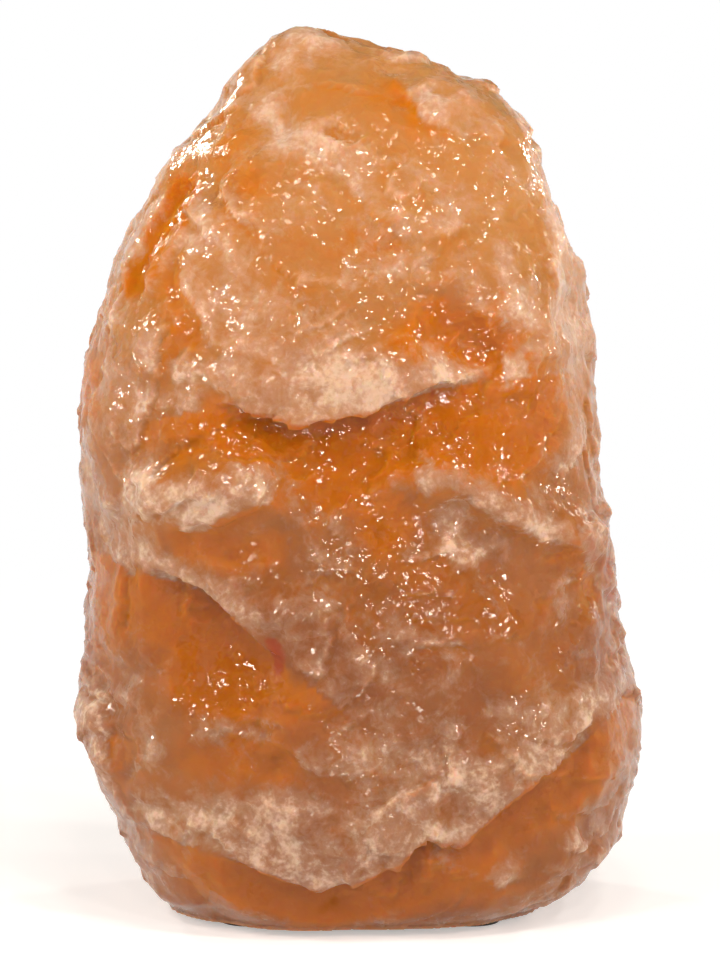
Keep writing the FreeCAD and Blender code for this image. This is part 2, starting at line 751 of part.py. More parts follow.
def cover_screws():
    """Three pan-head screws with a cross recess."""
    screws = []
    for n in range(3):
        angle = math.radians(120 * n - 90)
        x = "screw_circle * %.6f" % math.cos(angle)
        y = "screw_circle * %.6f" % math.sin(angle)
        head = cylinder("cover_screw_head_%d" % n, "screw_head", "1", x, y, "foot_height + 0.1")
        shank = cylinder("cover_screw_shank_%d" % n, "screw_radius", "screw_length", x, y,
                         "foot_height + 1.1")
        slots = []
        for m, (length, width) in enumerate((("2.6", "0.6"), ("0.6", "2.6"))):
            slots.append(brick("cover_screw_slot_%d_%d" % (n, m), length, width, "1",
                               "%s - %s / 2" % (x, length), "%s - %s / 2" % (y, width),
                               "foot_height - 0.3"))
        blank = combine("Fuse", "cover_screw_blank_%d" % n, head, shank)
        cross = combine("Fuse", "cover_screw_cross_%d" % n, slots[0], slots[1])
        screws.append(combine("Cut", "cover_screw_%d" % n, blank, cross))
    return group("cover_screws", screws)


def cord_grommet():
    """A rubber bush in the base's wall, turned about a level axis."""
    return turned("cord_grommet", [
        ("base_radius - base_wall - 2.2", "inlet_bore"),
        ("base_radius + 1.4", "inlet_bore"),
        ("base_radius + 1.4", "inlet_lip - 0.4"),
        ("base_radius + 1", "inlet_lip"),
        ("base_radius + 0.2", "inlet_lip"),
        ("base_radius + 0.2", "inlet_radius - gap"),
        ("base_radius - base_wall - 0.6", "inlet_radius - gap"),
        ("base_radius - base_wall - 0.6", "inlet_lip"),
        ("base_radius - base_wall - 2.2", "inlet_lip"),
    ], "YZ_Plane", "H_Axis", "inlet_height")


def threaded_nipple():
    """The M10 tube: its thread is a row of plain grooves."""
    body = turned("threaded_nipple", [
        ("nipple_bore", "nipple_foot"),
        ("nipple_radius - 0.4", "nipple_foot"),
        ("nipple_radius", "nipple_foot + 0.4"),
        ("nipple_radius", "nipple_head - 0.4"),
        ("nipple_radius - 0.4", "nipple_head"),
        ("nipple_bore", "nipple_head"),
    ])
    groove = new_sketch(body, "nipple_thread")
    outline(groove, [
        ("nipple_radius - 0.35", "nipple_foot + 1"),
        ("nipple_radius + 0.2", "nipple_foot + 0.6"),
        ("nipple_radius + 0.2", "nipple_foot + 1.4"),
    ])
    row_pattern(body, revolve(body, groove, "Groove"), 13, "1")
    return body


def nipple_nut():
    body = new_body("nipple_nut")
    sketch = new_sketch(body, "nut_hexagon", "XY_Plane",
                        out="base_top - base_wall - washer_height - nut_height")
    corners = []
    for n in range(6):
        angle = math.radians(60 * n)
        corners.append(("nut_corner * %.6f" % math.cos(angle),
                        "nut_corner * %.6f" % math.sin(angle)))
    outline(sketch, corners)
    circle(sketch, "0", "0", "nipple_radius + gap / 2")
    pad(body, sketch, "nut_height")
    return body


def lock_washer():
    """A washer with a toothed rim."""
    body = new_body("lock_washer")
    ring = new_sketch(body, "washer_ring", "XY_Plane", out="base_top - base_wall - washer_height")
    circle(ring, "0", "0", "washer_radius")
    circle(ring, "0", "0", "nipple_radius + gap * 2")
    pad(body, ring, "washer_height")
    notch = new_sketch(body, "washer_notch", "XY_Plane")
    circle(notch, "washer_radius + 0.3", "0", "0.9")
    round_pattern(body, pocket(body, notch, both_ways=True), 12)
    return body


# ---------------------------------------------------------------- the spring clip
def clip_bracket():
    """A spring steel strap under the lampholder with two ears at each end."""
    body = new_body("clip_bracket")
    strap = new_sketch(body, "strap", "XY_Plane", out="base_top")
    box(strap, "0 - strap_reach", "strap_reach", "0 - strap_half_width", "strap_half_width")
    circle(strap, "0", "0", "nipple_radius + gap")
    pad(body, strap, "strip")
    ears = new_sketch(body, "ears")
    for side in ("0 -", "0 +"):
        box(ears, side + " pin_x - 1.8", side + " pin_x + 1.8", "base_top", "pin_z + 1.6")
    pad(body, ears, "strap_half_width * 2", both_ways=True)
    between = new_sketch(body, "between_ears")
    for side in ("0 -", "0 +"):
        box(between, side + " pin_x - 3", side + " pin_x + 3", "base_top + strip", "pin_z + 3")
    pocket(body, between, "( wing_half_width + gap * 2 ) * 2", both_ways=True)
    holes = new_sketch(body, "pin_holes")
    circle(holes, "0 - pin_x", "pin_z", "pin_radius + gap / 2")
    circle(holes, "pin_x", "pin_z", "pin_radius + gap / 2")
    pocket(body, holes, both_ways=True)
    return body


def wing_pins():
    pins = []
    for n, x in enumerate(("0 - pin_x", "pin_x")):
        pin = cylinder("wing_pin_%d" % n, "pin_radius", "strap_half_width * 2 + 0.8", x,
                       "strap_half_width + 0.4", "pin_z")
        pin.Placement.Rotation = Rotation(Vector(1, 0, 0), 90)
        pins.append(pin)
    return group("wing_pins", pins)


def wing_spring(label):
    """A torsion spring on a wing's pin: close coils, turned one by one about the pin."""
    body = new_body(label)
    coil = new_sketch(body, label + "_coil", "YZ_Plane", "pin_z", "pin_x")
    box(coil, "0 - spring_gap + 0.3", "0 - spring_gap + 1.1", "pin_radius + 0.1",
        "pin_radius + 0.8")
    row_pattern(body, revolve(body, coil, axis="H_Axis"), 6, "0.75", "Y_Axis")
    return body


def wing_springs():
    right = wing_spring("wing_spring_right")
    return group("wing_springs", [right, mirrored("wing_spring_left", right)])


def clip_wing_right():
    """A leaf with a rolled eye in two halves, bowed out to bear on the bore."""
    body = new_body("clip_wing_right")
    leaf = new_sketch(body, "leaf")
    outline(leaf, [
        ("pin_x + eye_radius - strip", "pin_z"),
        ("pin_x + eye_radius", "pin_z"),
        ("touch_x", "touch_z - 1"),
        ("touch_x", "touch_z + 1"),
        ("tip_x + 0.3", "tip_z"),
        ("tip_x - 0.3", "tip_z"),
        ("touch_x - strip", "touch_z + 1"),
        ("touch_x - strip", "touch_z - 1"),
    ])
    pad(body, leaf, "wing_half_width * 2", both_ways=True)
    eye = new_sketch(body, "eye")
    circle(eye, "pin_x", "pin_z", "eye_radius")
    pad(body, eye, "wing_half_width * 2", both_ways=True)
    hole = new_sketch(body, "eye_hole")
    circle(hole, "pin_x", "pin_z", "pin_radius + gap / 2")
    pocket(body, hole, both_ways=True)
    window = new_sketch(body, "spring_window")
    box(window, "pin_x - 3", "pin_x + 3", "pin_z - 3", "pin_z + 3.2")
    pocket(body, window, "spring_gap * 2", both_ways=True)
    return body


# ---------------------------------------------------------------- the lampholder
def holder_cap():
    """The dome that screws on the nipple and seats the contact block."""
    body = turned("holder_cap", [
        ("nipple_radius + gap / 2", "base_top + strip"),
        ("hub_radius", "base_top + strip"),
        ("hub_radius", "base_top + strip + 2"),
        ("holder_radius", "holder_joint - 1.7"),
        ("holder_radius", "holder_joint"),
        ("holder_radius - 0.9", "holder_joint"),
        ("holder_radius - 0.9", "holder_joint + 2"),
        ("block_radius + gap", "holder_joint + 2"),
        ("block_radius + gap", "block_foot"),
        ("nipple_radius + 1.5", "block_foot"),
        ("nipple_radius + 1.5", "nipple_head"),
        ("nipple_radius + gap / 2", "nipple_head"),
    ])
    hole = new_sketch(body, "grub_hole")
    circle(hole, "0", "base_top + strip + 2.4", "1.5 + gap / 2")
    pocket(body, hole, reverse=True)
    return body


def grub_screw():
    """A headless screw that locks the cap on the nipple, with a driver slot."""
    screw = cylinder("grub_blank", "1.5", "2.4", "0", "0 - nipple_radius - gap",
                     "base_top + strip + 2.4")
    screw.Placement.Rotation = Rotation(Vector(1, 0, 0), 90)
    slot = brick("grub_slot", "3.2", "1.4", "0.6", "0 - 1.6", "0 - nipple_radius - gap - 3",
                 "base_top + strip + 2.1")
    return combine("Cut", "grub_screw", screw, slot)


def contact_block():
    """The ceramic block: wells for two terminals, slots for two strips, holes for two rivets."""
    body = turned("contact_block", [
        ("0", "block_foot"),
        ("block_radius - 0.5", "block_foot"),
        ("block_radius", "block_foot + 0.5"),
        ("block_radius", "block_top - 0.5"),
        ("block_radius - 0.5", "block_top"),
        ("0", "block_top"),
    ])
    wells = new_sketch(body, "terminal_wells")
    low, high = "strip_height - 2.9", "strip_height + 2.9"
    box(wells, "terminal_x - 2", "block_radius + 1", low, high)
    box(wells, "0 - block_radius - 1", "2 - terminal_x", low, high)
    pocket(body, wells, "6.4", both_ways=True)
    live = new_sketch(body, "live_slot")
    outline(live, [
        ("0 - 1", "strip_height - 1"),
        ("terminal_x - 1.9", "strip_height - 1"),
        ("terminal_x - 1.9", "strip_height + 1"),
        ("1", "strip_height + 1"),
        ("1", "block_top + 1"),
        ("0 - 1", "block_top + 1"),
    ])
    pocket(body, live, "4", both_ways=True)
    neutral = new_sketch(body, "neutral_slot")
    outline(neutral, [
        ("1.9 - terminal_x", "strip_height - 1"),
        ("0 - 4.8", "strip_height - 1"),
        ("0 - 4.8", "block_top + 1"),
        ("0 - 8.4", "block_top + 1"),
        ("0 - 8.4", "block_top - 0.6"),
        ("0 - 5.8", "block_top - 0.6"),
        ("0 - 5.8", "strip_height + 1"),
        ("1.9 - terminal_x", "strip_height + 1"),
    ])
    pocket(body, neutral, "3.4", both_ways=True)
    wires = new_sketch(body, "wire_holes", "XY_Plane", out="strip_height")
    circle(wires, "0 - terminal_x", "0", "1.4")
    circle(wires, "terminal_x", "0", "1.4")
    pocket(body, wires, "10")
    rivets = new_sketch(body, "rivet_holes", "XY_Plane", out="block_top")
    circle(rivets, "0", "0 - rivet_y", "0.9 + gap / 2")
    circle(rivets, "0", "rivet_y", "0.9 + gap / 2")
    pocket(body, rivets, "6")
    return body


def centre_contact():
    """A bent strip from the live terminal to a leaf under the bulb's tip."""
    body = new_body("centre_contact")
    sketch = new_sketch(body, "centre_strip")
    outline(sketch, [
        ("0 - 0.3", "strip_height - 0.3"),
        ("terminal_x - 2.2", "strip_height - 0.3"),
        ("terminal_x - 2.2", "strip_height + 0.3"),
        ("0.3", "strip_height + 0.3"),
        ("0.3", "block_top + 0.6"),
        ("3", "bulb_tip - 0.5"),
        ("0 - 1.5", "bulb_tip - 0.02"),
        ("0 - 2.6", "bulb_tip - 0.4"),
        ("0 - 2.6", "bulb_tip - 0.8"),
        ("0 - 1.4", "bulb_tip - 0.5"),
        ("1.4", "bulb_tip - 0.75"),
        ("0 - 0.3", "block_top + 1"),
    ])
    pad(body, sketch, "3.4", both_ways=True)
    return body


def neutral_strip():
    """A bent strip from the neutral terminal to the underside of the shell's flange."""
    body = new_body("neutral_strip")
    sketch = new_sketch(body, "neutral_bends")
    outline(sketch, [
        ("2.2 - terminal_x", "strip_height - 0.3"),
        ("0 - 5", "strip_height - 0.3"),
        ("0 - 5", "block_top"),
        ("0 - 8.2", "block_top"),
        ("0 - 8.2", "block_top - 0.5"),
        ("0 - 5.6", "block_top - 0.5"),
        ("0 - 5.6", "strip_height + 0.3"),
        ("2.2 - terminal_x", "strip_height + 0.3"),
    ])
    pad(body, sketch, "3", both_ways=True)
    return body


def terminal_clamps():
    """Two brass blocks, each with a wire hole and a threaded hole for its screw."""
    clamps = []
    for n, side in enumerate((-1, 1)):
        blank = brick("clamp_blank_%d" % n, "3.6", "5.8", "5.4", "terminal_x * %d - 1.8" % side,
                      "0 - 2.9", "strip_height - 2.7")
        way = cylinder("clamp_wire_way_%d" % n, "1.2", "4", "terminal_x * %d" % side, "0",
                       "strip_height - 3")
        tap = cylinder("clamp_tap_%d" % n, "1.3", "2.6", "terminal_x * %d" % side, "0",
                       "strip_height")
        tap.Placement.Rotation = Rotation(Vector(0, 1, 0), 90 * side)
        holes = combine("Fuse", "clamp_holes_%d" % n, way, tap)
        clamps.append(combine("Cut", "terminal_clamp_%d" % n, blank, holes))
    return group("terminal_clamps", clamps)


def terminal_screws():
    """Two slotted screws that clamp the wires from the sides."""
    screws = []
    for n, side in enumerate((-1, 1)):
        screw = cylinder("terminal_screw_blank_%d" % n, "1.2", "2.1",
                         "( terminal_x + 0.3 ) * %d" % side, "0", "strip_height")
        screw.Placement.Rotation = Rotation(Vector(0, 1, 0), 90 * side)
        slot = brick("terminal_screw_slot_%d" % n, "0.8", "2.6", "0.4",
                     "( terminal_x + 2.3 ) * %d - 0.4" % side, "0 - 1.3", "strip_height - 0.2")
        screws.append(combine("Cut", "terminal_screw_%d" % n, screw, slot))
    return group("terminal_screws", screws)


def screw_shell():
    """The E14 shell: a flanged brass tube with inward ribs."""
    body = turned("screw_shell", [
        ("shell_crest", "block_top"),
        ("shell_flange", "block_top"),
        ("shell_flange", "block_top + 0.6"),
        ("shell_outside", "block_top + 0.6"),
        ("shell_outside", "shell_top"),
        ("shell_root", "shell_top"),
        ("shell_root", "block_top + 0.6"),
        ("shell_crest", "block_top + 0.6"),
    ])
    rib = new_sketch(body, "shell_rib")
    outline(rib, [
        ("shell_root + 0.1", "shell_thread - 0.95"),
        ("shell_root + 0.1", "shell_thread + 0.95"),
        ("shell_crest", "shell_thread + 0.25"),
        ("shell_crest", "shell_thread - 0.25"),
    ])
    row_pattern(body, revolve(body, rib), 4, "pitch")
    holes = new_sketch(body, "shell_rivet_holes", "XY_Plane", out="block_top + 2")
    circle(holes, "0", "0 - rivet_y", "0.9 + gap / 2")
    circle(holes, "0", "rivet_y", "0.9 + gap / 2")
    pocket(body, holes, "3")
    return body


def shell_rivets():
    rivets = []
    for n, side in enumerate((-1, 1)):
        y = "rivet_y * %d" % side
        shank = cylinder("rivet_shank_%d" % n, "0.9", "6.6", "0", y, "block_top - 6")
        head = cylinder("rivet_head_%d" % n, "0.75", "0.5", "0", y, "block_top + 0.6")
        rivets.append(combine("Fuse", "shell_rivet_%d" % n, shank, head))
    return group("shell_rivets", rivets)


def holder_skirt():
    """The insulating skirt: it laps over the cap, holds the block down and guards the shell."""
    return turned("holder_skirt", [
        ("holder_radius - 0.9 + gap", "holder_joint + gap"),
        ("holder_radius", "holder_joint + gap"),
        ("holder_radius", "block_top + 1.5"),
        ("skirt_radius", "block_top + 2.7"),
        ("skirt_radius", "skirt_top - 0.6"),
        ("skirt_radius - 0.6", "skirt_top"),
        ("skirt_radius - 3.4", "skirt_top"),
        ("skirt_radius - 3.4", "skirt_top - 1.6"),
        ("skirt_radius - skirt_wall", "skirt_top - 3"),
        ("skirt_radius - skirt_wall", "block_top + gap"),
        ("block_radius + gap", "block_top + gap"),
        ("block_radius + gap", "holder_joint + 2.2"),
        ("holder_radius - 0.9 + gap", "holder_joint + 2.2"),
    ])


# ---------------------------------------------------------------- the bulb
def bulb_cap():
    """The E14 cap: a brass tube with outward ribs, half a pitch off the shell's."""
    body = turned("bulb_cap", [
        ("cap_root - 1.1", "bulb_cap_foot"),
        ("cap_root - 0.7", "bulb_cap_foot"),
        ("cap_root", "bulb_cap_foot + 1"),
        ("cap_root", "shell_top - 0.6"),
        ("cap_crest", "shell_top + 0.2"),
        ("cap_crest", "bulb_cap_top"),
        ("cap_crest - 0.4", "bulb_cap_top"),
        ("cap_crest - 0.4", "shell_top + 0.4"),
        ("cap_root - 0.4", "shell_top - 0.4"),
        ("cap_root - 0.4", "bulb_cap_foot + 1.2"),
        ("cap_root - 1.1", "bulb_cap_foot + 0.6"),
    ])
    rib = new_sketch(body, "cap_rib")
    outline(rib, [
        ("cap_root - 0.1", "shell_thread + pitch / 2 - 0.95"),
        ("cap_crest", "shell_thread + pitch / 2 - 0.25"),
        ("cap_crest", "shell_thread + pitch / 2 + 0.25"),
        ("cap_root - 0.1", "shell_thread + pitch / 2 + 0.95"),
    ])
    row_pattern(body, revolve(body, rib), 4, "pitch")
    return body


def cap_insulator():
    return turned("cap_insulator", [
        ("0", "bulb_tip + 0.9"),
        ("2.6", "bulb_tip + 0.9"),
        ("cap_root - 1.2", "bulb_cap_foot - 0.1"),
        ("cap_root - 1.2", "bulb_cap_foot + 0.6"),
        ("cap_root - 1.6", "bulb_cap_foot + 1.1"),
        ("0", "bulb_cap_foot + 1.1"),
    ])


def cap_contact():
    return turned("cap_contact", [
        ("0", "bulb_tip"),
        ("1.6", "bulb_tip"),
        ("2.3", "bulb_tip + 0.4"),
        ("2.3", "bulb_tip + 0.9"),
        ("0", "bulb_tip + 0.9"),
    ])


def glass_form(name, inward):
    """The bulb's outside, or its inside when every size is taken in by a wall."""
    neck = cylinder(name + "_neck", "neck_radius - %s" % inward,
                    "shoulder_foot - neck_foot + %s" % inward, z="neck_foot - %s" % inward)
    shoulder = doc.addObject("Part::Cone", name + "_shoulder")
    shoulder.setExpression("Radius1", cell("neck_radius - %s" % inward))
    shoulder.setExpression("Radius2", cell("bulb_radius - %s" % inward))
    shoulder.setExpression("Height", cell("shoulder_top - shoulder_foot"))
    place(shoulder, "0", "0", "shoulder_foot")
    barrel = cylinder(name + "_barrel", "bulb_radius - %s" % inward, "crown_z - shoulder_top",
                      z="shoulder_top")
    crown = doc.addObject("Part::Sphere", name + "_crown")
    crown.setExpression("Radius", cell("bulb_radius - %s" % inward))
    place(crown, "0", "0", "crown_z")
    return fuse_all(name, [neck, shoulder, barrel, crown])


def bulb_glass():
    """A thin pygmy bulb: its inside runs out through the foot of the neck."""
    outside = glass_form("glass_outside", "0")
    inside = glass_form("glass_inside", "glass_wall")
    return combine("Cut", "bulb_glass", outside, inside)


def glass_stem():
    """The stem that closes the neck, with the wires' two ways through its flare."""
    blank = turned("stem_blank", [
        ("0", "neck_foot"),
        ("neck_radius - glass_wall - gap", "neck_foot"),
        ("neck_radius - glass_wall - gap", "neck_foot + 0.8"),
        ("2.8", "neck_foot + 3"),
        ("1.5", "neck_foot + 6"),
        ("1.5", "neck_foot + 19"),
        ("0", "neck_foot + 19.6"),
    ])
    ways = []
    for n, side in enumerate((-1, 1)):
        ways.append(cylinder("wire_way_%d" % n, "wire + 0.05", "12", "2.2 * %d" % side, "0",
                             "neck_foot - 1"))
    return combine("Cut", "glass_stem", blank, fuse_all("wire_ways", ways))


def lead_wires():
    """Two wires from the cap up to the feet of the filament's arch."""
    wires = []
    for n, side in enumerate((-1, 1)):
        low = Vector(2.2 * side, 0, size("bulb_cap_foot") + 1.3)
        bend = Vector(2.2 * side, 0, size("neck_foot") + 13)
        high = Vector(size("arch_radius") * side, 0, size("arch_z"))
        joint = doc.addObject("Part::Sphere", "wire_bend_%d" % n)
        joint.setExpression("Radius", cell("wire"))
        joint.Placement = Placement(bend, Rotation())
        wires.append(fuse_all("lead_wire_%d" % n, [
            rod("wire_low_%d" % n, "wire", low, bend),
            joint,
            rod("wire_high_%d" % n, "wire", bend, high),
        ]))
    return group("lead_wires", wires)


def support_wires():
    """Two hooks from the stem that carry the arch."""
    wires = []
    for n, side in enumerate((-1, 1)):
        start = Vector(1.65 * side, 0, size("neck_foot") + 18)
        angle = math.radians(58)
        reach_out = size("arch_radius") - 0.4
        end = Vector(reach_out * math.cos(angle) * side, 0,
                     size("arch_z") + reach_out * math.sin(angle))
        wires.append(rod("support_wire_%d" % n, "0.15", start, end))
    return group("support_wires", wires)


def filament():
    """The coiled filament as one thin arch, standing on the lead wires."""
    arch = doc.addObject("Part::Torus", "filament")
    arch.Label = "filament"
    arch.setExpression("Radius1", cell("arch_radius"))
    arch.Radius2 = 0.2
    arch.Angle3 = 180.0
    arch.setExpression(".Placement.Base.z", cell("arch_z + wire + 0.05"))
    arch.Placement.Rotation = Rotation(Vector(1, 0, 0), 90)
    return arch


# ---------------------------------------------------------------- build and write
def build():
    fill_sheet()
    right = clip_wing_right()
    pieces = [
        salt_crystal(),
        felt_pads(),
        foot_disc(),
        base_cover(),
        cover_screws(),
        socket_base(),
        cord_grommet(),
        threaded_nipple(),
        nipple_nut(),
        lock_washer(),
        clip_bracket(),
        wing_pins(),
        wing_springs(),
        right,
        mirrored("clip_wing_left", right),
        holder_cap(),
        grub_screw(),
        contact_block(),
        centre_contact(),
        neutral_strip(),
        terminal_clamps(),
        terminal_screws(),
        screw_shell(),
        shell_rivets(),
        holder_skirt(),
        bulb_cap(),
        cap_insulator(),
        cap_contact(),
        bulb_glass(),
        glass_stem(),
        lead_wires(),
        support_wires(),
        filament(),
    ]
    doc.recompute()
    return pieces


def check_and_write(pieces):
    for thing in doc.Objects:
        bad = {"Invalid", "Error"} & set(thing.State)
        if bad:
            raise ValueError("%s is %s" % (thing.Label, ", ".join(bad)))
    for piece in pieces:
        shape = piece.Shape
        if shape.isNull() or not shape.isValid() or not shape.Solids:
            raise ValueError(piece.Label + " has no valid solid")
    os.makedirs("parts", exist_ok=True)
    for piece in pieces:
        piece.Shape.exportStep("parts/%s.step" % piece.Label)
        print(piece.Label, len(piece.Shape.Solids), round(piece.Shape.Volume, 1))


check_and_write(build())
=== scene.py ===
"""Looks of a salt crystal lamp: the broken block of rock salt, and the fitting and bulb under it.

Lengths are in metres unless a name ends in _MM. The frame is the CAD's: +Z up, -Y to the viewer.
"""
import functools
import math

import bmesh
import bpy
import numpy as np
from mathutils import Matrix, Vector, noise


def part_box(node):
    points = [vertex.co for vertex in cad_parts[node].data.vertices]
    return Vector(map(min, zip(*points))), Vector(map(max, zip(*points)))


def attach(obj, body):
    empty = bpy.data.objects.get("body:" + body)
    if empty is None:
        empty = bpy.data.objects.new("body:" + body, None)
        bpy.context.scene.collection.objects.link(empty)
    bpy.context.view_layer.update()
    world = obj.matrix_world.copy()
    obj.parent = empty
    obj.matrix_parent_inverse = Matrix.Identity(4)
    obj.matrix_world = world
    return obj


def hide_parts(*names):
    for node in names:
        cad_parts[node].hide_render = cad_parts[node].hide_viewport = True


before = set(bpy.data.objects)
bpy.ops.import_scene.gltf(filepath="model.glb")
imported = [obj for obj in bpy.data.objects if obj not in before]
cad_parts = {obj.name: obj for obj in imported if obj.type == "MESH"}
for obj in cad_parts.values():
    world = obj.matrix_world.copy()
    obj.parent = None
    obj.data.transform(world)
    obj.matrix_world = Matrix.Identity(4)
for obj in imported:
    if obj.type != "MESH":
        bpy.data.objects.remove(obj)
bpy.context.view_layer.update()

MM = 0.001

bl_info = {
    "name": "Salt Crystal Lamp",
    "version": (1, 0, 0),
    "blender": (4, 5, 0),
    "location": "3D View > Sidebar > Salt Lamp",
    "description": "Dresses a bored block of rock salt, its clip-in fitting and its bulb",
    "category": "Add Mesh",
}

# ---------------------------------------------------------------- places taken from the frame
BLOCK_LOW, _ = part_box("salt_crystal")
GLASS_LOW, GLASS_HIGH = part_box("bulb_glass")
ARCH_LOW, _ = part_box("filament")
BORE_RADIUS_MM = 24.0
BORE_TOP_MM = 136.0
RECESS_RADIUS_MM = 31.0
RECESS_TOP_MM = 18.0
SLOT_HALF_WIDTH_MM = 7.0
SLOT_TOP_MM = 15.0
UNDERSIDE_MM = BLOCK_LOW.z / MM

# The bulb's glass and filament, in mm: the glass is a neck, a shoulder and a round crown.
GLASS_RADIUS_MM = GLASS_HIGH.x / MM
NECK_RADIUS_MM = 5.5
NECK_FOOT_MM = GLASS_LOW.z / MM
SHOULDER_FOOT_MM = 57.0
SHOULDER_TOP_MM = 70.0
CROWN_MM = GLASS_HIGH.z / MM - GLASS_RADIUS_MM
ARCH_FOOT_MM = ARCH_LOW.z / MM
ARCH_RADIUS_MM = 7.6
COIL_RADIUS_MM = 0.30
COIL_WIRE_MM = 0.06
COIL_PITCH_MM = 0.34
GLASS_STEPS = 72            # round its axis
SHOULDER_STEPS, CROWN_STEPS = 14, 18

# The face seen first is described on a plane square to the camera's view, in mm: across from the
# middle, and up from the line of the foot. The camera looks down by SEEN_FROM degrees.
SEEN_FROM = 8.0
FOOT_LINE_MM = 5.0
# How far behind the block's middle the seen face's relief ends, and where its colours fade out;
# and between which cosines to the line to the viewer each of them comes in.
RELIEF_ENDS_MM = 10.0
COLOURS_FADE_MM = (12.0, -8.0)
RELIEF_FACING, COLOURS_FACING = (0.0, 0.35), (-0.25, 0.1)
# How its marks stray from their lines: the noise's size in mm, its two seeds, its reach in mm.
RELIEF_STRAYS = ((9, 6, 7, 2.4), (3.5, 8, 9, 0.9))
COLOURS_STRAY = ((10, 16, 17, 3.0), (4, 18, 19, 1.3))

# Each mark of the salt: half its width, how strong it is, and the line it follows on that plane.
# Frost is the pale, bruised skin of ridges and broken lips.
FROST = {
    "crown": (6, 0.75, [(-26, 227), (-18, 231), (-10, 232)]),
    "left shoulder of the crown": (7, 0.6, [(-33, 217), (-25, 224), (-17, 226)]),
    "cloud below the crown": (6, 0.85, [(-23, 212), (-19, 205), (-13, 200)]),
    "small cloud beside it": (4, 0.35, [(-8, 200), (-3, 190), (6, 192)]),
    "top right step": (3.5, 0.5, [(9, 221), (12, 214), (17, 208), (26, 206)]),
    "right of the step": (7, 0.35, [(22, 218), (34, 208), (42, 196)]),
    "flake by the cleft": (3.2, 0.95, [(-42, 191), (-46, 182), (-49, 174), (-53, 168)]),
    "left edge high": (4, 0.55, [(-44, 205), (-52, 190), (-58, 178)]),
    "left edge": (5, 0.5, [(-62, 168), (-65, 155), (-66, 140), (-63, 128)]),
    "smooth grey slab": (10, 0.75, [(-38, 178), (-37, 168), (-31, 158), (-26, 152)]),
    "brow": (8, 0.95, [(-30, 146), (-18, 143), (-6, 143), (6, 145), (17, 146)]),
    "brow left end": (5, 0.8, [(-34, 143), (-26, 139), (-16, 137)]),
    "brow, its upper haze": (9, 0.5, [(-22, 156), (-8, 154), (4, 151)]),
    "right ridge high": (4.5, 0.8, [(43, 208), (47, 197), (50, 184), (51, 170)]),
    "right ridge middle": (4.0, 0.55, [(51, 168), (54, 150), (56, 134), (57, 120)]),
    "right haze": (9, 0.5, [(27, 172), (36, 166), (46, 158), (50, 148)]),
    "hazy streak": (6, 0.4, [(12, 176), (22, 180), (30, 176)]),
    "left grain": (8, 0.35, [(-50, 150), (-46, 140), (-42, 130)]),
    "left column": (5, 0.65, [(-56, 136), (-56, 122), (-57, 110), (-56, 98)]),
    "left flank, low": (4, 0.45, [(-67, 122), (-70, 118), (-68, 106)]),
    "cheek cloud": (8, 0.85, [(-49, 113), (-40, 114), (-31, 115), (-24, 118)]),
    "cheek cloud, grey foot": (5, 0.75, [(-49, 107), (-42, 107), (-33, 109)]),
    "under the cheek lip's end": (5, 0.45, [(-20, 80), (-12, 86), (-6, 92)]),
    "slanting ridge": (5.5, 0.8, [(8, 116), (18, 118), (26, 118), (37, 110), (48, 104), (58, 99)]),
    "slab under the ridge": (6, 0.6, [(21, 107), (30, 108), (38, 106)]),
    "left lump": (4.6, 1.0, [(23, 98), (29, 97)]),
    "right lump": (4.6, 0.7, [(35, 100), (40, 94)]),
    "right ridge low": (4.0, 0.5, [(58, 98), (62, 86), (65, 74), (66, 62)]),
    "speckle": (4, 0.6, [(-2, 76), (2, 72)]),
    "middle haze": (9, 0.3, [(2, 80), (14, 76), (18, 66)]),
    "patches left": (4, 0.6, [(-38, 56), (-34, 52)]),
    "patches right": (6, 0.5, [(-27, 58), (-18, 62), (-12, 62)]),
    "whitish spot": (5.5, 0.85, [(-5, 52), (-2, 46), (0, 42)]),
    "low haze": (11, 0.55, [(-38, 32), (-20, 30), (0, 34), (18, 38), (32, 42)]),
    "low haze, upper": (10, 0.4, [(-8, 52), (12, 54), (30, 52), (44, 56)]),
    "chin slab": (6, 0.6, [(-24, 24), (-10, 20), (4, 24), (16, 32)]),
    "right end of the chin": (4, 0.55, [(52, 58), (57, 62), (61, 68)]),
    "flake at the left edge": (4, 0.95, [(-71, 56), (-69, 48), (-64, 42)]),
    "left streak": (4, 0.5, [(-56, 66), (-55, 52), (-52, 40), (-50, 30)]),
    "left foot": (4, 0.45, [(-50, 20), (-46, 12), (-42, 7)]),
    "patch in the foot": (6, 0.65, [(20, 20), (30, 18), (40, 16)]),
    "foot, middle": (3, 0.4, [(-13, 10), (-11, 6)]),
    "right edge": (3.5, 0.55, [(70, 64), (72, 50), (69, 40), (62, 28)]),
    "streaks low right": (4, 0.5, [(57, 42), (60, 34), (54, 24)]),
}
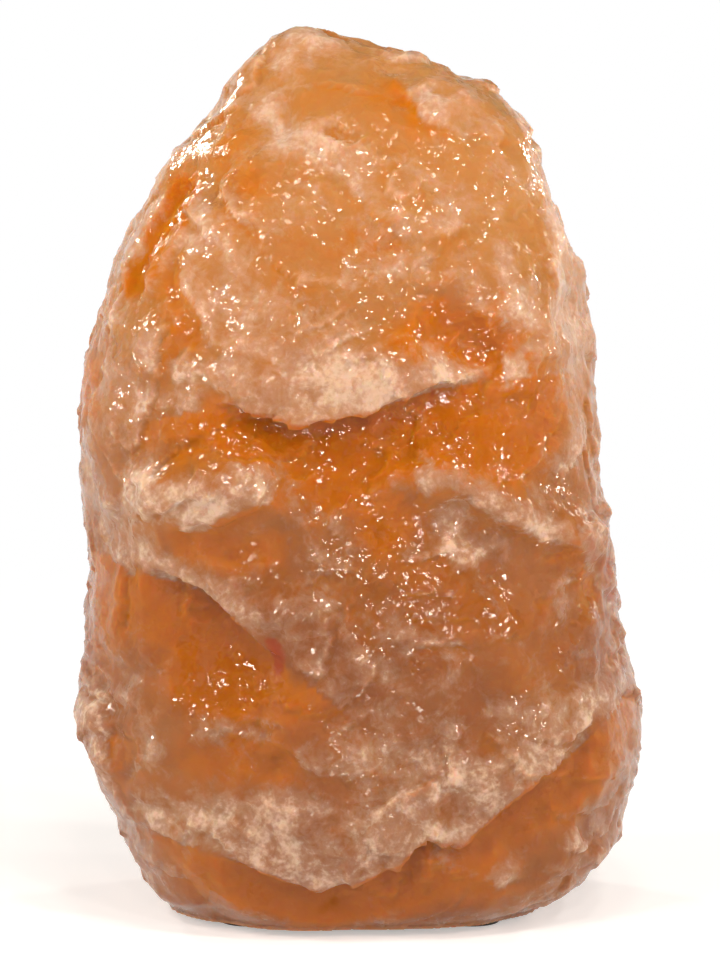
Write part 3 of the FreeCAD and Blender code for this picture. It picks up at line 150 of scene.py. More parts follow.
# Amber is the clear, deep coloured salt that shows in hollows and under thin skin; in the hollows
# and under the ledges it is partly painted shade.
AMBER_AND_SHADE_MARKS = {
    "crown hollow": (9, 0.20, [(-14, 216), (0, 214), (10, 210)]),
    "under the step": (4, 0.25, [(2, 206), (8, 200), (18, 198)]),
    "glitter pocket": (7, 0.5, [(-32, 206), (-33, 198), (-28, 192)]),
    "cleft": (4.2, 1.0, [(-45, 193), (-50, 184), (-55, 174), (-58, 168)]),
    "pool left": (7, 0.3, [(-30, 184), (-20, 180)]),
    "pool middle": (6, 0.30, [(-4, 176), (2, 173), (8, 172)]),
    "pool low left": (6, 0.4, [(-50, 164), (-48, 156)]),
    "well": (9, 1.2, [(18, 153), (27, 153), (34, 151)]),
    "well, its foot": (7, 0.8, [(26, 146), (36, 142), (46, 140)]),
    "glint wall": (6, 0.6, [(40, 150), (46, 142), (44, 128)]),
    "left edge pool": (4, 0.6, [(-70, 146), (-70, 136)]),
    "brow hollow left": (7, 1.0, [(-34, 132), (-26, 130), (-14, 127), (-4, 126)]),
    "brow hollow right": (9, 1.0, [(0, 130), (14, 132), (28, 132), (40, 128)]),
    "brow hollow, deepest": (6, 1.0, [(22, 126), (34, 122), (42, 122)]),
    "brow hollow, foot": (5, 0.7, [(-12, 122), (0, 119), (12, 120)]),
    "heart": (7, 0.8, [(-8, 114), (0, 110), (8, 104)]),
    "lens": (5, 0.65, [(-44, 98), (-34, 98), (-24, 98)]),
    "cheek hollow": (9, 0.95, [(-50, 86), (-42, 80), (-34, 72), (-30, 64)]),
    "cheek hollow, foot": (8, 0.8, [(-44, 66), (-34, 62), (-26, 64)]),
    "left flank": (5, 0.4, [(-64, 96), (-64, 82), (-66, 70)]),
    "quiet right": (12, 0.4, [(16, 88), (30, 82), (46, 78)]),
    "right of the spot": (8, 0.35, [(40, 68), (52, 66)]),
    "low band": (6, 0.75, [(-42, 44), (-32, 44), (-22, 44)]),
    "chin hollow left": (5, 0.85, [(-38, 16), (-26, 13), (-16, 8)]),
    "chin hollow middle": (7, 0.8, [(-8, 8), (4, 11), (14, 16), (26, 22)]),
    "chin hollow right": (8, 0.75, [(42, 34), (50, 40), (58, 44)]),
    "right edge": (4, 0.4, [(66, 74), (68, 56), (62, 38)]),
}
# Rust is iron oxide caught in the salt.
RUST = {
    "stain": (2.4, 1.4, [(-23, 75), (-21, 71), (-20, 69)]),
    "above the stain": (1.6, 0.45, [(-30, 90), (-34, 93)]),
    "facet at the right edge": (3.5, 0.6, [(60, 100), (64, 92), (66, 86)]),
    "freckles in the brow hollow": (2.0, 0.4, [(24, 120), (30, 117)]),
    "grain left": (5.0, 0.35, [(-48, 138), (-40, 134)]),
    "deep seam": (3.0, 0.35, [(0, 104), (6, 96)]),
}
# Glitter is fresh broken salt, all small bright facets.
GLITTER = {
    "pocket": (7, 1.0, [(-33, 204), (-30, 196), (-34, 188)]),
    "top": (3, 0.7, [(-30, 213), (-24, 208)]),
    "upper right": (4, 0.9, [(36, 196), (40, 193)]),
    "right middle": (5, 0.9, [(20, 190), (22, 180), (30, 176)]),
    "right ridge": (5, 0.8, [(46, 188), (48, 178), (44, 170)]),
    "face": (12, 0.6, [(6, 170), (24, 166), (40, 160)]),
    "face left": (8, 0.5, [(-12, 158), (4, 156), (20, 156)]),
    "wall": (6, 1.0, [(44, 152), (48, 142), (46, 130)]),
    "wall low": (4, 0.8, [(26, 124), (29, 118)]),
    "left grain": (9, 0.7, [(-62, 152), (-50, 146), (-44, 136), (-58, 130)]),
    "left column": (4, 0.7, [(-57, 132), (-56, 110)]),
    "heart": (5, 0.9, [(-6, 110), (2, 104), (8, 102)]),
    "slab": (5, 0.6, [(22, 114), (34, 104), (44, 98)]),
    "right low": (6, 0.8, [(50, 100), (56, 88), (55, 72)]),
    "right end": (3, 1.0, [(53, 74), (56, 71)]),
    "spot": (3, 0.8, [(-2, 76), (1, 72)]),
    "hot point": (2.2, 1.0, [(40, 57), (42, 55)]),
    "low right": (3, 0.7, [(50, 40), (47, 36)]),
    "all over": (70, 0.42, [(0, 60), (0, 180)]),
}
# Swells and dents of the skin: half width, height in mm, and the line.
RELIEF = {
    "flake by the cleft": (2.6, 1.6, [(-43, 190), (-46, 182), (-49, 174), (-53, 168)]),
    "cleft": (3.0, -2.2, [(-46, 193), (-51, 184), (-56, 175), (-59, 168)]),
    "right ridge high": (4.0, 1.2, [(43, 208), (47, 197), (51, 184), (53, 168)]),
    "right ridge low": (5.0, 0.9, [(55, 150), (57, 120), (60, 98), (63, 80)]),
    "slanting ridge": (4.5, 2.2, [(10, 117), (24, 118), (36, 111), (48, 104), (58, 99)]),
    "under the ridge": (4.0, -1.2, [(14, 109), (26, 108), (34, 103)]),
    "left lump": (3.4, 2.8, [(24, 98), (28, 97)]),
    "right lump": (3.6, 2.0, [(36, 100), (40, 94)]),
    "cheek cloud": (7.0, 1.6, [(-48, 112), (-38, 113), (-27, 117)]),
    "lens": (5.0, -1.4, [(-42, 99), (-32, 98), (-24, 100)]),
    "brow end": (4.0, 1.2, [(-33, 143), (-24, 140)]),
    "well": (8.0, -2.6, [(22, 154), (32, 151)]),
    "right of the well": (5.0, 1.4, [(38, 160), (44, 150), (42, 142)]),
    "heart": (6.0, -1.2, [(-6, 110), (6, 104)]),
    "flake at the left edge": (3.6, 1.6, [(-71, 56), (-69, 48), (-64, 42)]),
    "groove right of it": (2.4, -1.4, [(-66, 62), (-64, 50), (-59, 40)]),
    "left groove": (2.6, -1.4, [(-60, 120), (-61, 104), (-59, 92)]),
    "whitish spot": (4.0, 0.9, [(-4, 50), (0, 43)]),
    "patches": (5.0, 1.0, [(-36, 54), (-24, 58)]),
    "low band": (6.0, -1.5, [(-40, 44), (-24, 44)]),
    "stain": (2.2, -1.0, [(-22, 76), (-20, 67)]),
    "patch in the foot": (5.5, 1.2, [(22, 20), (36, 17)]),
    "crack": (0.9, -0.9, [(-48, 127), (-40, 126), (-30, 122), (-18, 122)]),
    "crack down": (0.9, -0.7, [(-41, 126), (-43, 118)]),
    "seam": (1.0, -0.8, [(-12, 66), (-8, 78), (-2, 90), (4, 98)]),
}
# Steps: the broken edge of a layer that stands proud on the right of the line as it is followed.
# Half width of the edge, height in mm, how far the layer reaches back from the edge, how frosted
# the layer is, how amber the foot of its edge is (partly painted shade under the edge), the line.
STEPS = {
    "top right": (0.9, 1.8, 16, 0.5, 0.5, [(26, 206), (17, 208), (14, 213), (9, 217), (8, 224)]),
    "slab's left edge": (1.0, 1.4, 14, 0.5, 0.3, [(-35, 146), (-40, 156), (-46, 166), (-44, 180)]),
    "slab's right edge": (1.2, 0.8, 10, 0.2, 0.3, [(-20, 176), (-22, 166), (-14, 158)]),
    "cheek cloud's foot": (0.8, 1.8, 13, 0.75, 0.5, [(-19, 119), (-27, 110), (-36, 106),
                                                    (-44, 104), (-52, 106)]),
    "foot patch": (0.8, 1.4, 10, 0.6, 0.4, [(44, 14), (34, 12), (24, 15), (17, 20), (14, 27)]),
    "right facet": (0.9, 1.4, 9, 0.3, 0.4, [(63, 84), (59, 94), (57, 104), (60, 112)]),
    "right of the well": (1.0, 1.4, 12, 0.4, 0.6, [(30, 136), (36, 146), (33, 158), (24, 162)]),
    "flake at the left edge": (0.7, 1.2, 7, 0.8, 0.5, [(-69, 60), (-66, 50), (-63, 40)]),
    "slanting ridge": (0.9, 1.6, 9, 0.5, 0.4, [(60, 97), (48, 101), (37, 106), (26, 113),
                                               (12, 113)]),
    "under the low haze": (1.0, 0.8, 14, 0.3, 0.3, [(8, 44), (-6, 40), (-18, 44), (-30, 50)]),
    "middle plate": (0.9, 0.9, 14, 0.25, 0.25, [(30, 74), (16, 70), (4, 78), (-6, 90)]),
    "upper plate": (0.9, 1.0, 16, 0.3, 0.3, [(30, 182), (16, 178), (4, 184), (-6, 196)]),
    "left plate": (0.9, 1.0, 10, 0.4, 0.3, [(-46, 152), (-54, 146), (-60, 152)]),
}
# The lips of the block's big ledges: how far the frost reaches up from the lip, and the amber
# down from it, in mm, and the line of the lip. The amber under a lip is partly painted shade.
LIPS = {
    "brow": (9, 14, [(-39, 135), (-34, 136), (-26, 133), (-16, 130), (-7, 132), (2, 134),
                     (11, 137), (20, 140), (28, 141), (36, 142)]),
    "cheek": (6, 16, [(-58, 94), (-53, 92), (-46, 90), (-37, 86), (-30, 79), (-24, 73),
                      (-16, 67)]),
    "chin": (12, 12, [(-39, 21), (-33, 19), (-22, 15), (-11, 11), (-1, 13), (10, 18), (17, 25),
                      (27, 24), (36, 32), (46, 40), (55, 46), (62, 53)]),
}


# ---------------------------------------------------------------- small tools
def linear(hex_colour):
    """Turns an sRGB hex value, such as C97F3F, to linear red, green, blue and full alpha."""
    channels = [int(hex_colour[n:n + 2], 16) / 255 for n in (0, 2, 4)]
    straight = [c / 12.92 if c <= 0.04045 else ((c + 0.055) / 1.055) ** 2.4 for c in channels]
    return (*straight, 1.0)


def per_mm(size_mm):
    """The scale of a texture node whose cells are this many mm across, on metre coordinates."""
    return 1.0 / (size_mm * MM)


def new_material(name):
    material = bpy.data.materials.new(name)
    material.use_nodes = True
    material.node_tree.nodes.clear()
    return material


# The sockets of a Mix node of colours, and the settings that make one or that ease a range.
SHARE, FIRST, SECOND = 0, 6, 7
COLOURS = {"out": 2, "data_type": "RGBA"}
EASED = {"interpolation_type": "SMOOTHSTEP"}


def add(owner, kind, inputs=None, out=0, **settings):
    """Adds a node with its settings, sets or links its inputs, and gives one of its outputs."""
    tree = owner.node_tree
    node = tree.nodes.new("ShaderNode" + kind)
    for key, value in settings.items():
        setattr(node, key, value)
    for key, value in (inputs or {}).items():
        if isinstance(value, bpy.types.NodeSocket):
            tree.links.new(value, node.inputs[key])
        else:
            node.inputs[key].default_value = value
    return node.outputs[out] if node.outputs else None


def finish_material(material, shader):
    add(material, "OutputMaterial", {"Surface": shader})
    return material


def put_in(name, data):
    """A new object of this data in the scene."""
    made = bpy.data.objects.new(name, data)
    bpy.context.scene.collection.objects.link(made)
    return made


def from_bmesh(name, form, material=None, smooth=True):
    mesh = bpy.data.meshes.new(name)
    form.to_mesh(mesh)
    form.free()
    for face in mesh.polygons:
        face.use_smooth = smooth
    if material:
        mesh.materials.append(material)
    return put_in(name, mesh)


def applied(made):
    """The object's mesh with its modifiers in it and none left."""
    graph = bpy.context.evaluated_depsgraph_get()
    mesh = bpy.data.meshes.new_from_object(made.evaluated_get(graph))
    old = made.data
    made.modifiers.clear()
    made.data = mesh
    bpy.data.meshes.remove(old)
    return mesh


# ---------------------------------------------------------------- settings
def millimetres(name, description, default, least, most):
    """A length that is set in mm and held in metres."""
    return bpy.props.FloatProperty(
        name=name, description=description, default=default * MM, min=least * MM,
        max=most * MM, unit="LENGTH", precision=5)


def salt_shade(name, description, default):
    return bpy.props.FloatVectorProperty(
        name=name, description=description, subtype="COLOR", size=4, min=0, max=1,
        default=linear(default))


class SaltLampLooks(bpy.types.PropertyGroup):
    """Sizes and colours of the salt, the fitting and the picture."""

    voxel: millimetres("Salt mesh size", "Edge length of the salt's mesh", 1.34, 0.8, 5)
    swell: millimetres("Swell", "Height of the slow lumps all over the salt", 0.9, 0, 4)
    chips: millimetres("Chips", "Height of the small broken facets", 0.55, 0, 2)
    layer: millimetres(
        "Layers", "How proud each thin layer of the salt stands at its lip", 1.5, 0, 3)
    bulb_wall: millimetres("Bulb wall", "Thickness of the bulb's glass", 0.6, 0.3, 1.5)
    salt_tan: salt_shade("Salt", "Body colour of the salt", "BC8650")
    # Amber: the clear salt's colour, which in the hollows and under the ledges also stands for
    # painted shade.
    salt_amber_and_shade: salt_shade("Amber", "Clear salt in the hollows", "C8740A")
    salt_frost: salt_shade("Frost", "Bruised skin of ridges and lips", "D6B49C")
    salt_rust: salt_shade("Rust", "Iron oxide in the salt", "9A3E08")
    view_distance: bpy.props.FloatProperty(
        name="View distance", description="From the camera to the lamp",
        default=1.5, min=0.5, max=5.0, unit="LENGTH")
    picture_height: bpy.props.FloatProperty(
        name="Picture height", description="Height of what the picture takes in, at the lamp",
        default=0.2503, min=0.1, max=1.0, unit="LENGTH", precision=4)
    key_power: bpy.props.FloatProperty(
        name="Key lamps", description="Power that the soft lamps' shares are of",
        default=1.5, min=0.0, max=100.0, unit="POWER")
    glint_power: bpy.props.FloatProperty(
        name="Glint lamp", description="Power of each small lamp that makes the glints",
        default=1.95, min=0.0, max=20.0, unit="POWER")


# ---------------------------------------------------------------- rock salt
def picture_place(points):
    """Where points in mm show on the picture plane of the seen face: across, up."""
    tilt = math.radians(SEEN_FROM)
    across = points[:, 0]
    up = points[:, 2] * math.cos(tilt) + points[:, 1] * math.sin(tilt) + FOOT_LINE_MM
    return np.stack([across, up], axis=1)


def to_line(places, line):
    """Each place's distance to a line of points, and on which side it is: left is positive."""
    nearest = np.full(len(places), np.inf)
    side = np.ones(len(places))
    for start, end in zip(line, line[1:]):
        a, b = np.array(start, float), np.array(end, float)
        along = b - a
        share = np.clip(((places - a) @ along) / (along @ along), 0, 1)
        off = places - (a + share[:, None] * along)
        distance = np.hypot(off[:, 0], off[:, 1])
        closer = distance < nearest
        nearest[closer] = distance[closer]
        cross = along[0] * off[:, 1] - along[1] * off[:, 0]
        side[closer] = np.where(cross[closer] >= 0, 1.0, -1.0)
    return nearest, side


def smooth_step(low, high, values):
    share = np.clip((values - low) / (high - low), 0, 1)
    return share * share * (3 - 2 * share)


MARK_FADE = 0.9         # how steeply a mark fades, over its half width
ENDS_FADE_MM = 6.0      # how far from its ends an edge comes in


def marks(places, table):
    """The strongest of a table's marks at each place."""
    strength = np.zeros(len(places))
    for half_width, power, line in table.values():
        distance, _ = to_line(places, line)
        strength = np.maximum(strength, power * np.exp(-(distance / half_width) ** 2 * MARK_FADE))
    return strength


def beside(places, line, edge, right_reach, left_reach):
    """How near each place is to a line, on its right and on its left, fading at its ends."""
    distance, side = to_line(places, line)
    ends = np.minimum(np.hypot(*(places - np.array(line[0])).T),
                      np.hypot(*(places - np.array(line[-1])).T))
    fade = smooth_step(0.0, ENDS_FADE_MM, ends)
    on_right = smooth_step(-edge, edge, -distance * side)
    right = on_right * np.exp(-(distance / right_reach) ** 2) * fade
    left = (1 - on_right) * np.exp(-(distance / left_reach) ** 2) * fade
    return right, left


def noise_at(points, size_mm, seed):
    """Smooth noise, about -1 to 1, with lumps of this size."""
    shift = Vector((seed * 17.3, seed * 5.1, seed * 9.7))
    return np.array([noise.noise(Vector(p) / size_mm + shift) for p in points])


def places_and_normals(mesh):
    count = len(mesh.vertices)
    points = np.empty(count * 3)
    normals = np.empty(count * 3)
    mesh.vertices.foreach_get("co", points)
    mesh.vertices.foreach_get("normal", normals)
    return points.reshape(count, 3) / MM, normals.reshape(count, 3)


def move_points(mesh, points):
    mesh.vertices.foreach_set("co", (points * MM).ravel())
    mesh.update()


SLOT_STARTS_MM = 20.0
SAWN_DEPTH_MM = 0.6     # how far up from the underside the saw's marks reach


def worked_faces(points):
    """1 where the block was sawn or drilled: on the bore, recess, slot and underside."""
    radius = np.hypot(points[:, 0], points[:, 1])
    across, depth, height = np.abs(points[:, 0]), points[:, 1], points[:, 2]
    close = 1.3
    bore = (radius < BORE_RADIUS_MM + close) & (height < BORE_TOP_MM + close)
    recess = (radius < RECESS_RADIUS_MM + close) & (height < RECESS_TOP_MM + close)
    slot = (across < SLOT_HALF_WIDTH_MM + close) & (height < SLOT_TOP_MM + close)
    slot &= depth > SLOT_STARTS_MM
    underside = height < UNDERSIDE_MM + SAWN_DEPTH_MM
    return (bore | recess | slot | underside).astype(float)


def rough_block(looks):
    """The CAD's block as an even mesh."""
    source = bmesh.new()
    source.from_mesh(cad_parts["salt_crystal"].data)
    bmesh.ops.remove_doubles(source, verts=source.verts, dist=0.005 * MM)
    block = from_bmesh("salt_block", source)
    remesh = block.modifiers.new("even mesh", "REMESH")
    remesh.mode = "VOXEL"
    remesh.voxel_size = looks.voxel
    applied(block)
    return block


def settle_worked_faces(points):
    """Puts the drilled and sawn faces back on true cylinders and planes after the even mesh."""
    radius = np.hypot(points[:, 0], points[:, 1])
    height = points[:, 2]
    close = 0.9
    on_bore = (np.abs(radius - BORE_RADIUS_MM) < close) & (height > RECESS_TOP_MM + close)
    on_bore &= height < BORE_TOP_MM - close
    on_recess = (np.abs(radius - RECESS_RADIUS_MM) < close) & (height < RECESS_TOP_MM - close)
    on_recess &= height > UNDERSIDE_MM + close
    on_recess &= (np.abs(points[:, 0]) > SLOT_HALF_WIDTH_MM + close) | (points[:, 1] < 0)
    for chosen, true_radius in ((on_bore, BORE_RADIUS_MM), (on_recess, RECESS_RADIUS_MM)):
        share = true_radius / radius[chosen]
        points[chosen, 0] *= share
        points[chosen, 1] *= share
    points[height < UNDERSIDE_MM + close, 2] = UNDERSIDE_MM
    return points


def slow_form(mesh, passes):
    """The mesh's points in mm and its normals once its relief has been smoothed away."""
    copy = put_in("slow_form", mesh.copy())
    smooth = copy.modifiers.new("smooth", "SMOOTH")
    smooth.factor = 0.8
    smooth.iterations = passes
    slow = applied(copy)
    points, normals = places_and_normals(slow)
    bpy.data.meshes.remove(slow)
    return points, normals


def facing_viewer(normals):
    """The cosine between each normal and the line to the viewer."""
    tilt = math.radians(SEEN_FROM)
    return -normals[:, 1] * math.cos(tilt) + normals[:, 2] * math.sin(tilt)


def strayed(points, rows):
    """Picture places that stray by noise, so that a mark's edge is ragged."""
    places = picture_place(points)
    for size_mm, seed_across, seed_up, reach_mm in rows:
        stray = [noise_at(points, size_mm, seed) for seed in (seed_across, seed_up)]
        places += np.stack(stray, axis=1) * reach_mm
    return places


CELL_SHUFFLE = 7.7      # takes a cell's centre to the noise that its lean is drawn from
FACET_SLOPE = 1.6
FACET_EDGE = 0.25       # how much nearer its own centre a facet's point is before it's full


def facets(points, size_mm, seed):
    """Broken facets: each cell of the salt leans its own way. Heights run about -1 to 1."""
    noise.seed_set(seed)    # without it, noise_vector starts from the clock
    shift = Vector((seed * 3.7, seed * 11.9, seed * 7.3))
    heights = np.empty(len(points))
    for n, p in enumerate(points):
        place = Vector(p) / size_mm + shift
        distances, centres = noise.voronoi(place)
        lean = noise.noise_vector(centres[0] * CELL_SHUFFLE)
        lower = (place - centres[0]).dot(lean) * FACET_SLOPE
        edge = min(1.0, (distances[1] - distances[0]) / FACET_EDGE)
        heights[n] = lower * edge
    return heights


LAYER_PITCH_MM = 17.0
LAYER_WAVES = ((32, 10, 2.4), (8, 11, 0.35), (3, 12, 0.08))   # size in mm, seed, height in pitches
LIP_SHARE = 0.07        # the part of a pitch over which a layer rises at its lip
LAYERS_THERE = (20, 13)                 # size in mm and seed of the noise that breaks them off
LIP_STARTS, LIP_MIDDLE, LIP_REACH, FOOT_REACH = 0.04, 0.10, 0.16, 0.20      # in pitches


def shingles(points):
    """The salt's layers: each stands proud at its lower lip and thins out towards the next one.

    Gives the lift, -0.5 to 0.5, and how near each place is above a lip and below one.
    """
    level = points[:, 2] / LAYER_PITCH_MM
    for size_mm, seed, height in LAYER_WAVES:
        level = level + noise_at(points, size_mm, seed) * height
    there = smooth_step(-0.25, 0.25, noise_at(points, *LAYERS_THERE))
    phase = level - np.floor(level)
    thinned = 1 - (phase - LIP_SHARE) / (1 - LIP_SHARE)
    lift = np.where(phase < LIP_SHARE, phase / LIP_SHARE, thinned) - 0.5
    above = np.exp(-((phase - LIP_MIDDLE) / LIP_REACH) ** 2) * (phase > LIP_STARTS)
    below = np.exp(-((1 - phase) / FOOT_REACH) ** 2)
    return lift * there, above * there, below * there


def shape_skin(mesh, looks):
    """Moves the outer skin: facets, swells, and the marks of the seen face."""
    points, normals = places_and_normals(mesh)
    free = 1 - worked_faces(points)
    free *= smooth_step(UNDERSIDE_MM + 0.5, UNDERSIDE_MM + 6, points[:, 2])
    swell_mm, chips_mm = looks.swell / MM, looks.chips / MM
    forms = (    # kind, size in mm, seed, height in mm
        (noise_at, 15, 1, swell_mm),
        (noise_at, 7, 2, swell_mm * 0.8),
        (facets, 14, 3, swell_mm * 1.5),
        (facets, 6, 4, chips_mm * 1.8),
        (noise_at, 3.2, 5, chips_mm * 0.7),
    )
    lift = shingles(points)[0] * looks.layer / MM
    for form, size_mm, seed, height_mm in forms:
        lift += form(points, size_mm, seed) * height_mm
    places = strayed(points, RELIEF_STRAYS)
    seen = smooth_step(*RELIEF_FACING, facing_viewer(normals)) * (points[:, 1] < RELIEF_ENDS_MM)
    seen_lift = np.zeros(len(points))
    for half_width, height, line in RELIEF.values():
        distance, _ = to_line(places, line)
        seen_lift += height * np.exp(-(distance / half_width) ** 2)
    for edge, height, back, _, _, line in STEPS.values():
        proud, _ = beside(places, line, edge, back, 1.0)
        seen_lift += height * proud
    lift += seen_lift * seen
    move_points(mesh, points + normals * (lift * free)[:, None])


# What the block's form does to its skin: the heights in mm at which it starts and is full, and how
# strong it is then. A ridge is bruised to frost; a hollow turns deeper amber, partly the clear
# salt's colour and partly painted shade.
NARROW_RIDGE, WIDE_RIDGE = (0.3, 1.6, 0.45), (0.5, 4, 0.25)
NARROW_HOLLOW_AMBER_AND_SHADE, WIDE_HOLLOW_AMBER_AND_SHADE = (0.3, 2.0, 0.40), (0.8, 5, 0.35)
NARROW_PASSES, WIDE_PASSES = 24, 160    # how long the mesh is smoothed to find them
# What an edge does to the frost and to the amber, above it and below it. Below a lip or a layer's
# edge, more amber and less frost stand partly for painted shade.
LIP_ABOVE, AMBER_AND_SHADE_BELOW_LIP = (0.75, -0.6), (-0.8, 0.8)
LAYER_ABOVE, AMBER_AND_SHADE_BELOW_LAYER = (0.40, -0.15), (-0.30, 0.30)
STEP_FROST_BELOW = -0.5
STEP_FROST_REACH = 0.6      # the part of a step's reach that is frosted
# The amber at a step's foot is partly painted shade under the proud edge.
STEP_FOOT_AMBER_AND_SHADE_MM = 5.0          # how far the amber at a step's foot reaches
LIP_EDGE_MM = 0.7
# The sides and the back, which have no marks of their own: size in mm, seed and share of the
# noises that make their patches, how strong the patches are, and how much they glitter.
PATCHES = ((22, 20, 1.0), (9, 21, 0.5))
PATCH_STRENGTH = 0.8
PLAIN_GLITTER = 0.35


def grown(heights, form):
    starts, full, strength = form
    return strength * smooth_step(starts, full, heights)


def colour_skin(mesh):
    """Writes what the salt's material reads at each point."""
    points, normals = places_and_normals(mesh)
    # How deep each point lies in a hollow, in mm; on a ridge it is negative.
    slow_points, slow_normals = slow_form(mesh, WIDE_PASSES)
    wide = ((slow_points - points) * normals).sum(axis=1)
    narrow = ((slow_form(mesh, NARROW_PASSES)[0] - points) * normals).sum(axis=1)
    places = strayed(points, COLOURS_STRAY)
    seen = smooth_step(*COLOURS_FACING, facing_viewer(normals))
    seen *= smooth_step(*COLOURS_FADE_MM, points[:, 1])
    patches = sum(share * noise_at(points, size_mm, seed) for size_mm, seed, share in PATCHES)
    frost_behind = PATCH_STRENGTH * smooth_step(0.1, 0.9, patches)
    amber_behind = PATCH_STRENGTH * smooth_step(0.1, 0.9, -patches)
    frost = seen * marks(places, FROST) + (1 - seen) * frost_behind
    frost += grown(-narrow, NARROW_RIDGE) + grown(-wide, WIDE_RIDGE)
    amber_and_shade = seen * marks(places, AMBER_AND_SHADE_MARKS) + (1 - seen) * amber_behind
    # In the hollows the amber grows: partly the clear salt, partly painted shade.
    amber_and_shade += grown(narrow, NARROW_HOLLOW_AMBER_AND_SHADE) + grown(wide, WIDE_HOLLOW_AMBER_AND_SHADE)
    # At each step's foot, under its proud edge, the amber is partly painted shade.
    for edge, _, back, pale, deep, line in STEPS.values():
        above, below = beside(places, line, edge, back * STEP_FROST_REACH, STEP_FOOT_AMBER_AND_SHADE_MM)
        frost += seen * (pale * above + STEP_FROST_BELOW * below)
        amber_and_shade += seen * deep * below
    straight = picture_place(points)
    # Under each lip the amber is partly painted shade.
    for up, down, line in LIPS.values():
        below, above = beside(straight, line, LIP_EDGE_MM, down, up)
        frost += seen * (LIP_ABOVE[0] * above + AMBER_AND_SHADE_BELOW_LIP[0] * below)
        amber_and_shade += seen * (LIP_ABOVE[1] * above + AMBER_AND_SHADE_BELOW_LIP[1] * below)
    # Under each layer's lip the amber is partly painted shade.
    _, above, below = shingles(points)
    frost += LAYER_ABOVE[0] * above + AMBER_AND_SHADE_BELOW_LAYER[0] * below
    amber_and_shade += LAYER_ABOVE[1] * above + AMBER_AND_SHADE_BELOW_LAYER[1] * below
    values = {
        "frost": frost,
        "amber_and_shade": amber_and_shade,
        "rust": seen * marks(places, RUST),
        "glitter": seen * marks(places, GLITTER) + (1 - seen) * PLAIN_GLITTER,
        "worked": worked_faces(points),
    }
    for name, numbers in values.items():
        layer = mesh.attributes.new(name, "FLOAT", "POINT")
        layer.data.foreach_set("value", np.clip(numbers, 0, 1).astype(np.float32))
    layer = mesh.attributes.new("slow_normal", "FLOAT_VECTOR", "POINT")
    layer.data.foreach_set("vector", slow_normals.astype(np.float32).ravel())


# The salt's patterns, in mm across: slow clouds, broken haze, plates, veins, the crookedness of
# edges, streaks, and grains like sugar. The cleavage facets also have how far each leans.
CLOUD_MM, HAZE_MM, PLATE_MM, VEIN_MM, CROOKED_MM, STREAK_MM, SUGAR_MM = 30, 13, 10, 9, 5, 4.5, 1.4
CLEAVAGE = ((5.0, 0.50), (1.0, 0.42))
RAGGED_SHARES = (1.9, 0.8, 0.35)        # of the haze, the streaks and the grains
MILK_SHARES = (1.0, 2.2, -0.75)         # of the frost, the raggedness and the amber
PLATE_SHARE = 0.36                      # how much milkier one plate can be than another
# Between these heights, going down, the body turns browner and darker: painted shade, as less
# light reaches the lower block.
PALE_ABOVE_MM, DARK_BELOW_MM = 190, 80  # heights between which the body darkens
SHADED_LOWER_BODY, TINT, DEEP_AMBER_AND_SHADE = "A4622E", "BE7C3E", "B8660A"
THIN_HAZE, VEIN, CRUST, SAWN = "C28E70", "F0DCCC", "E4CAB4", "DDA77C"


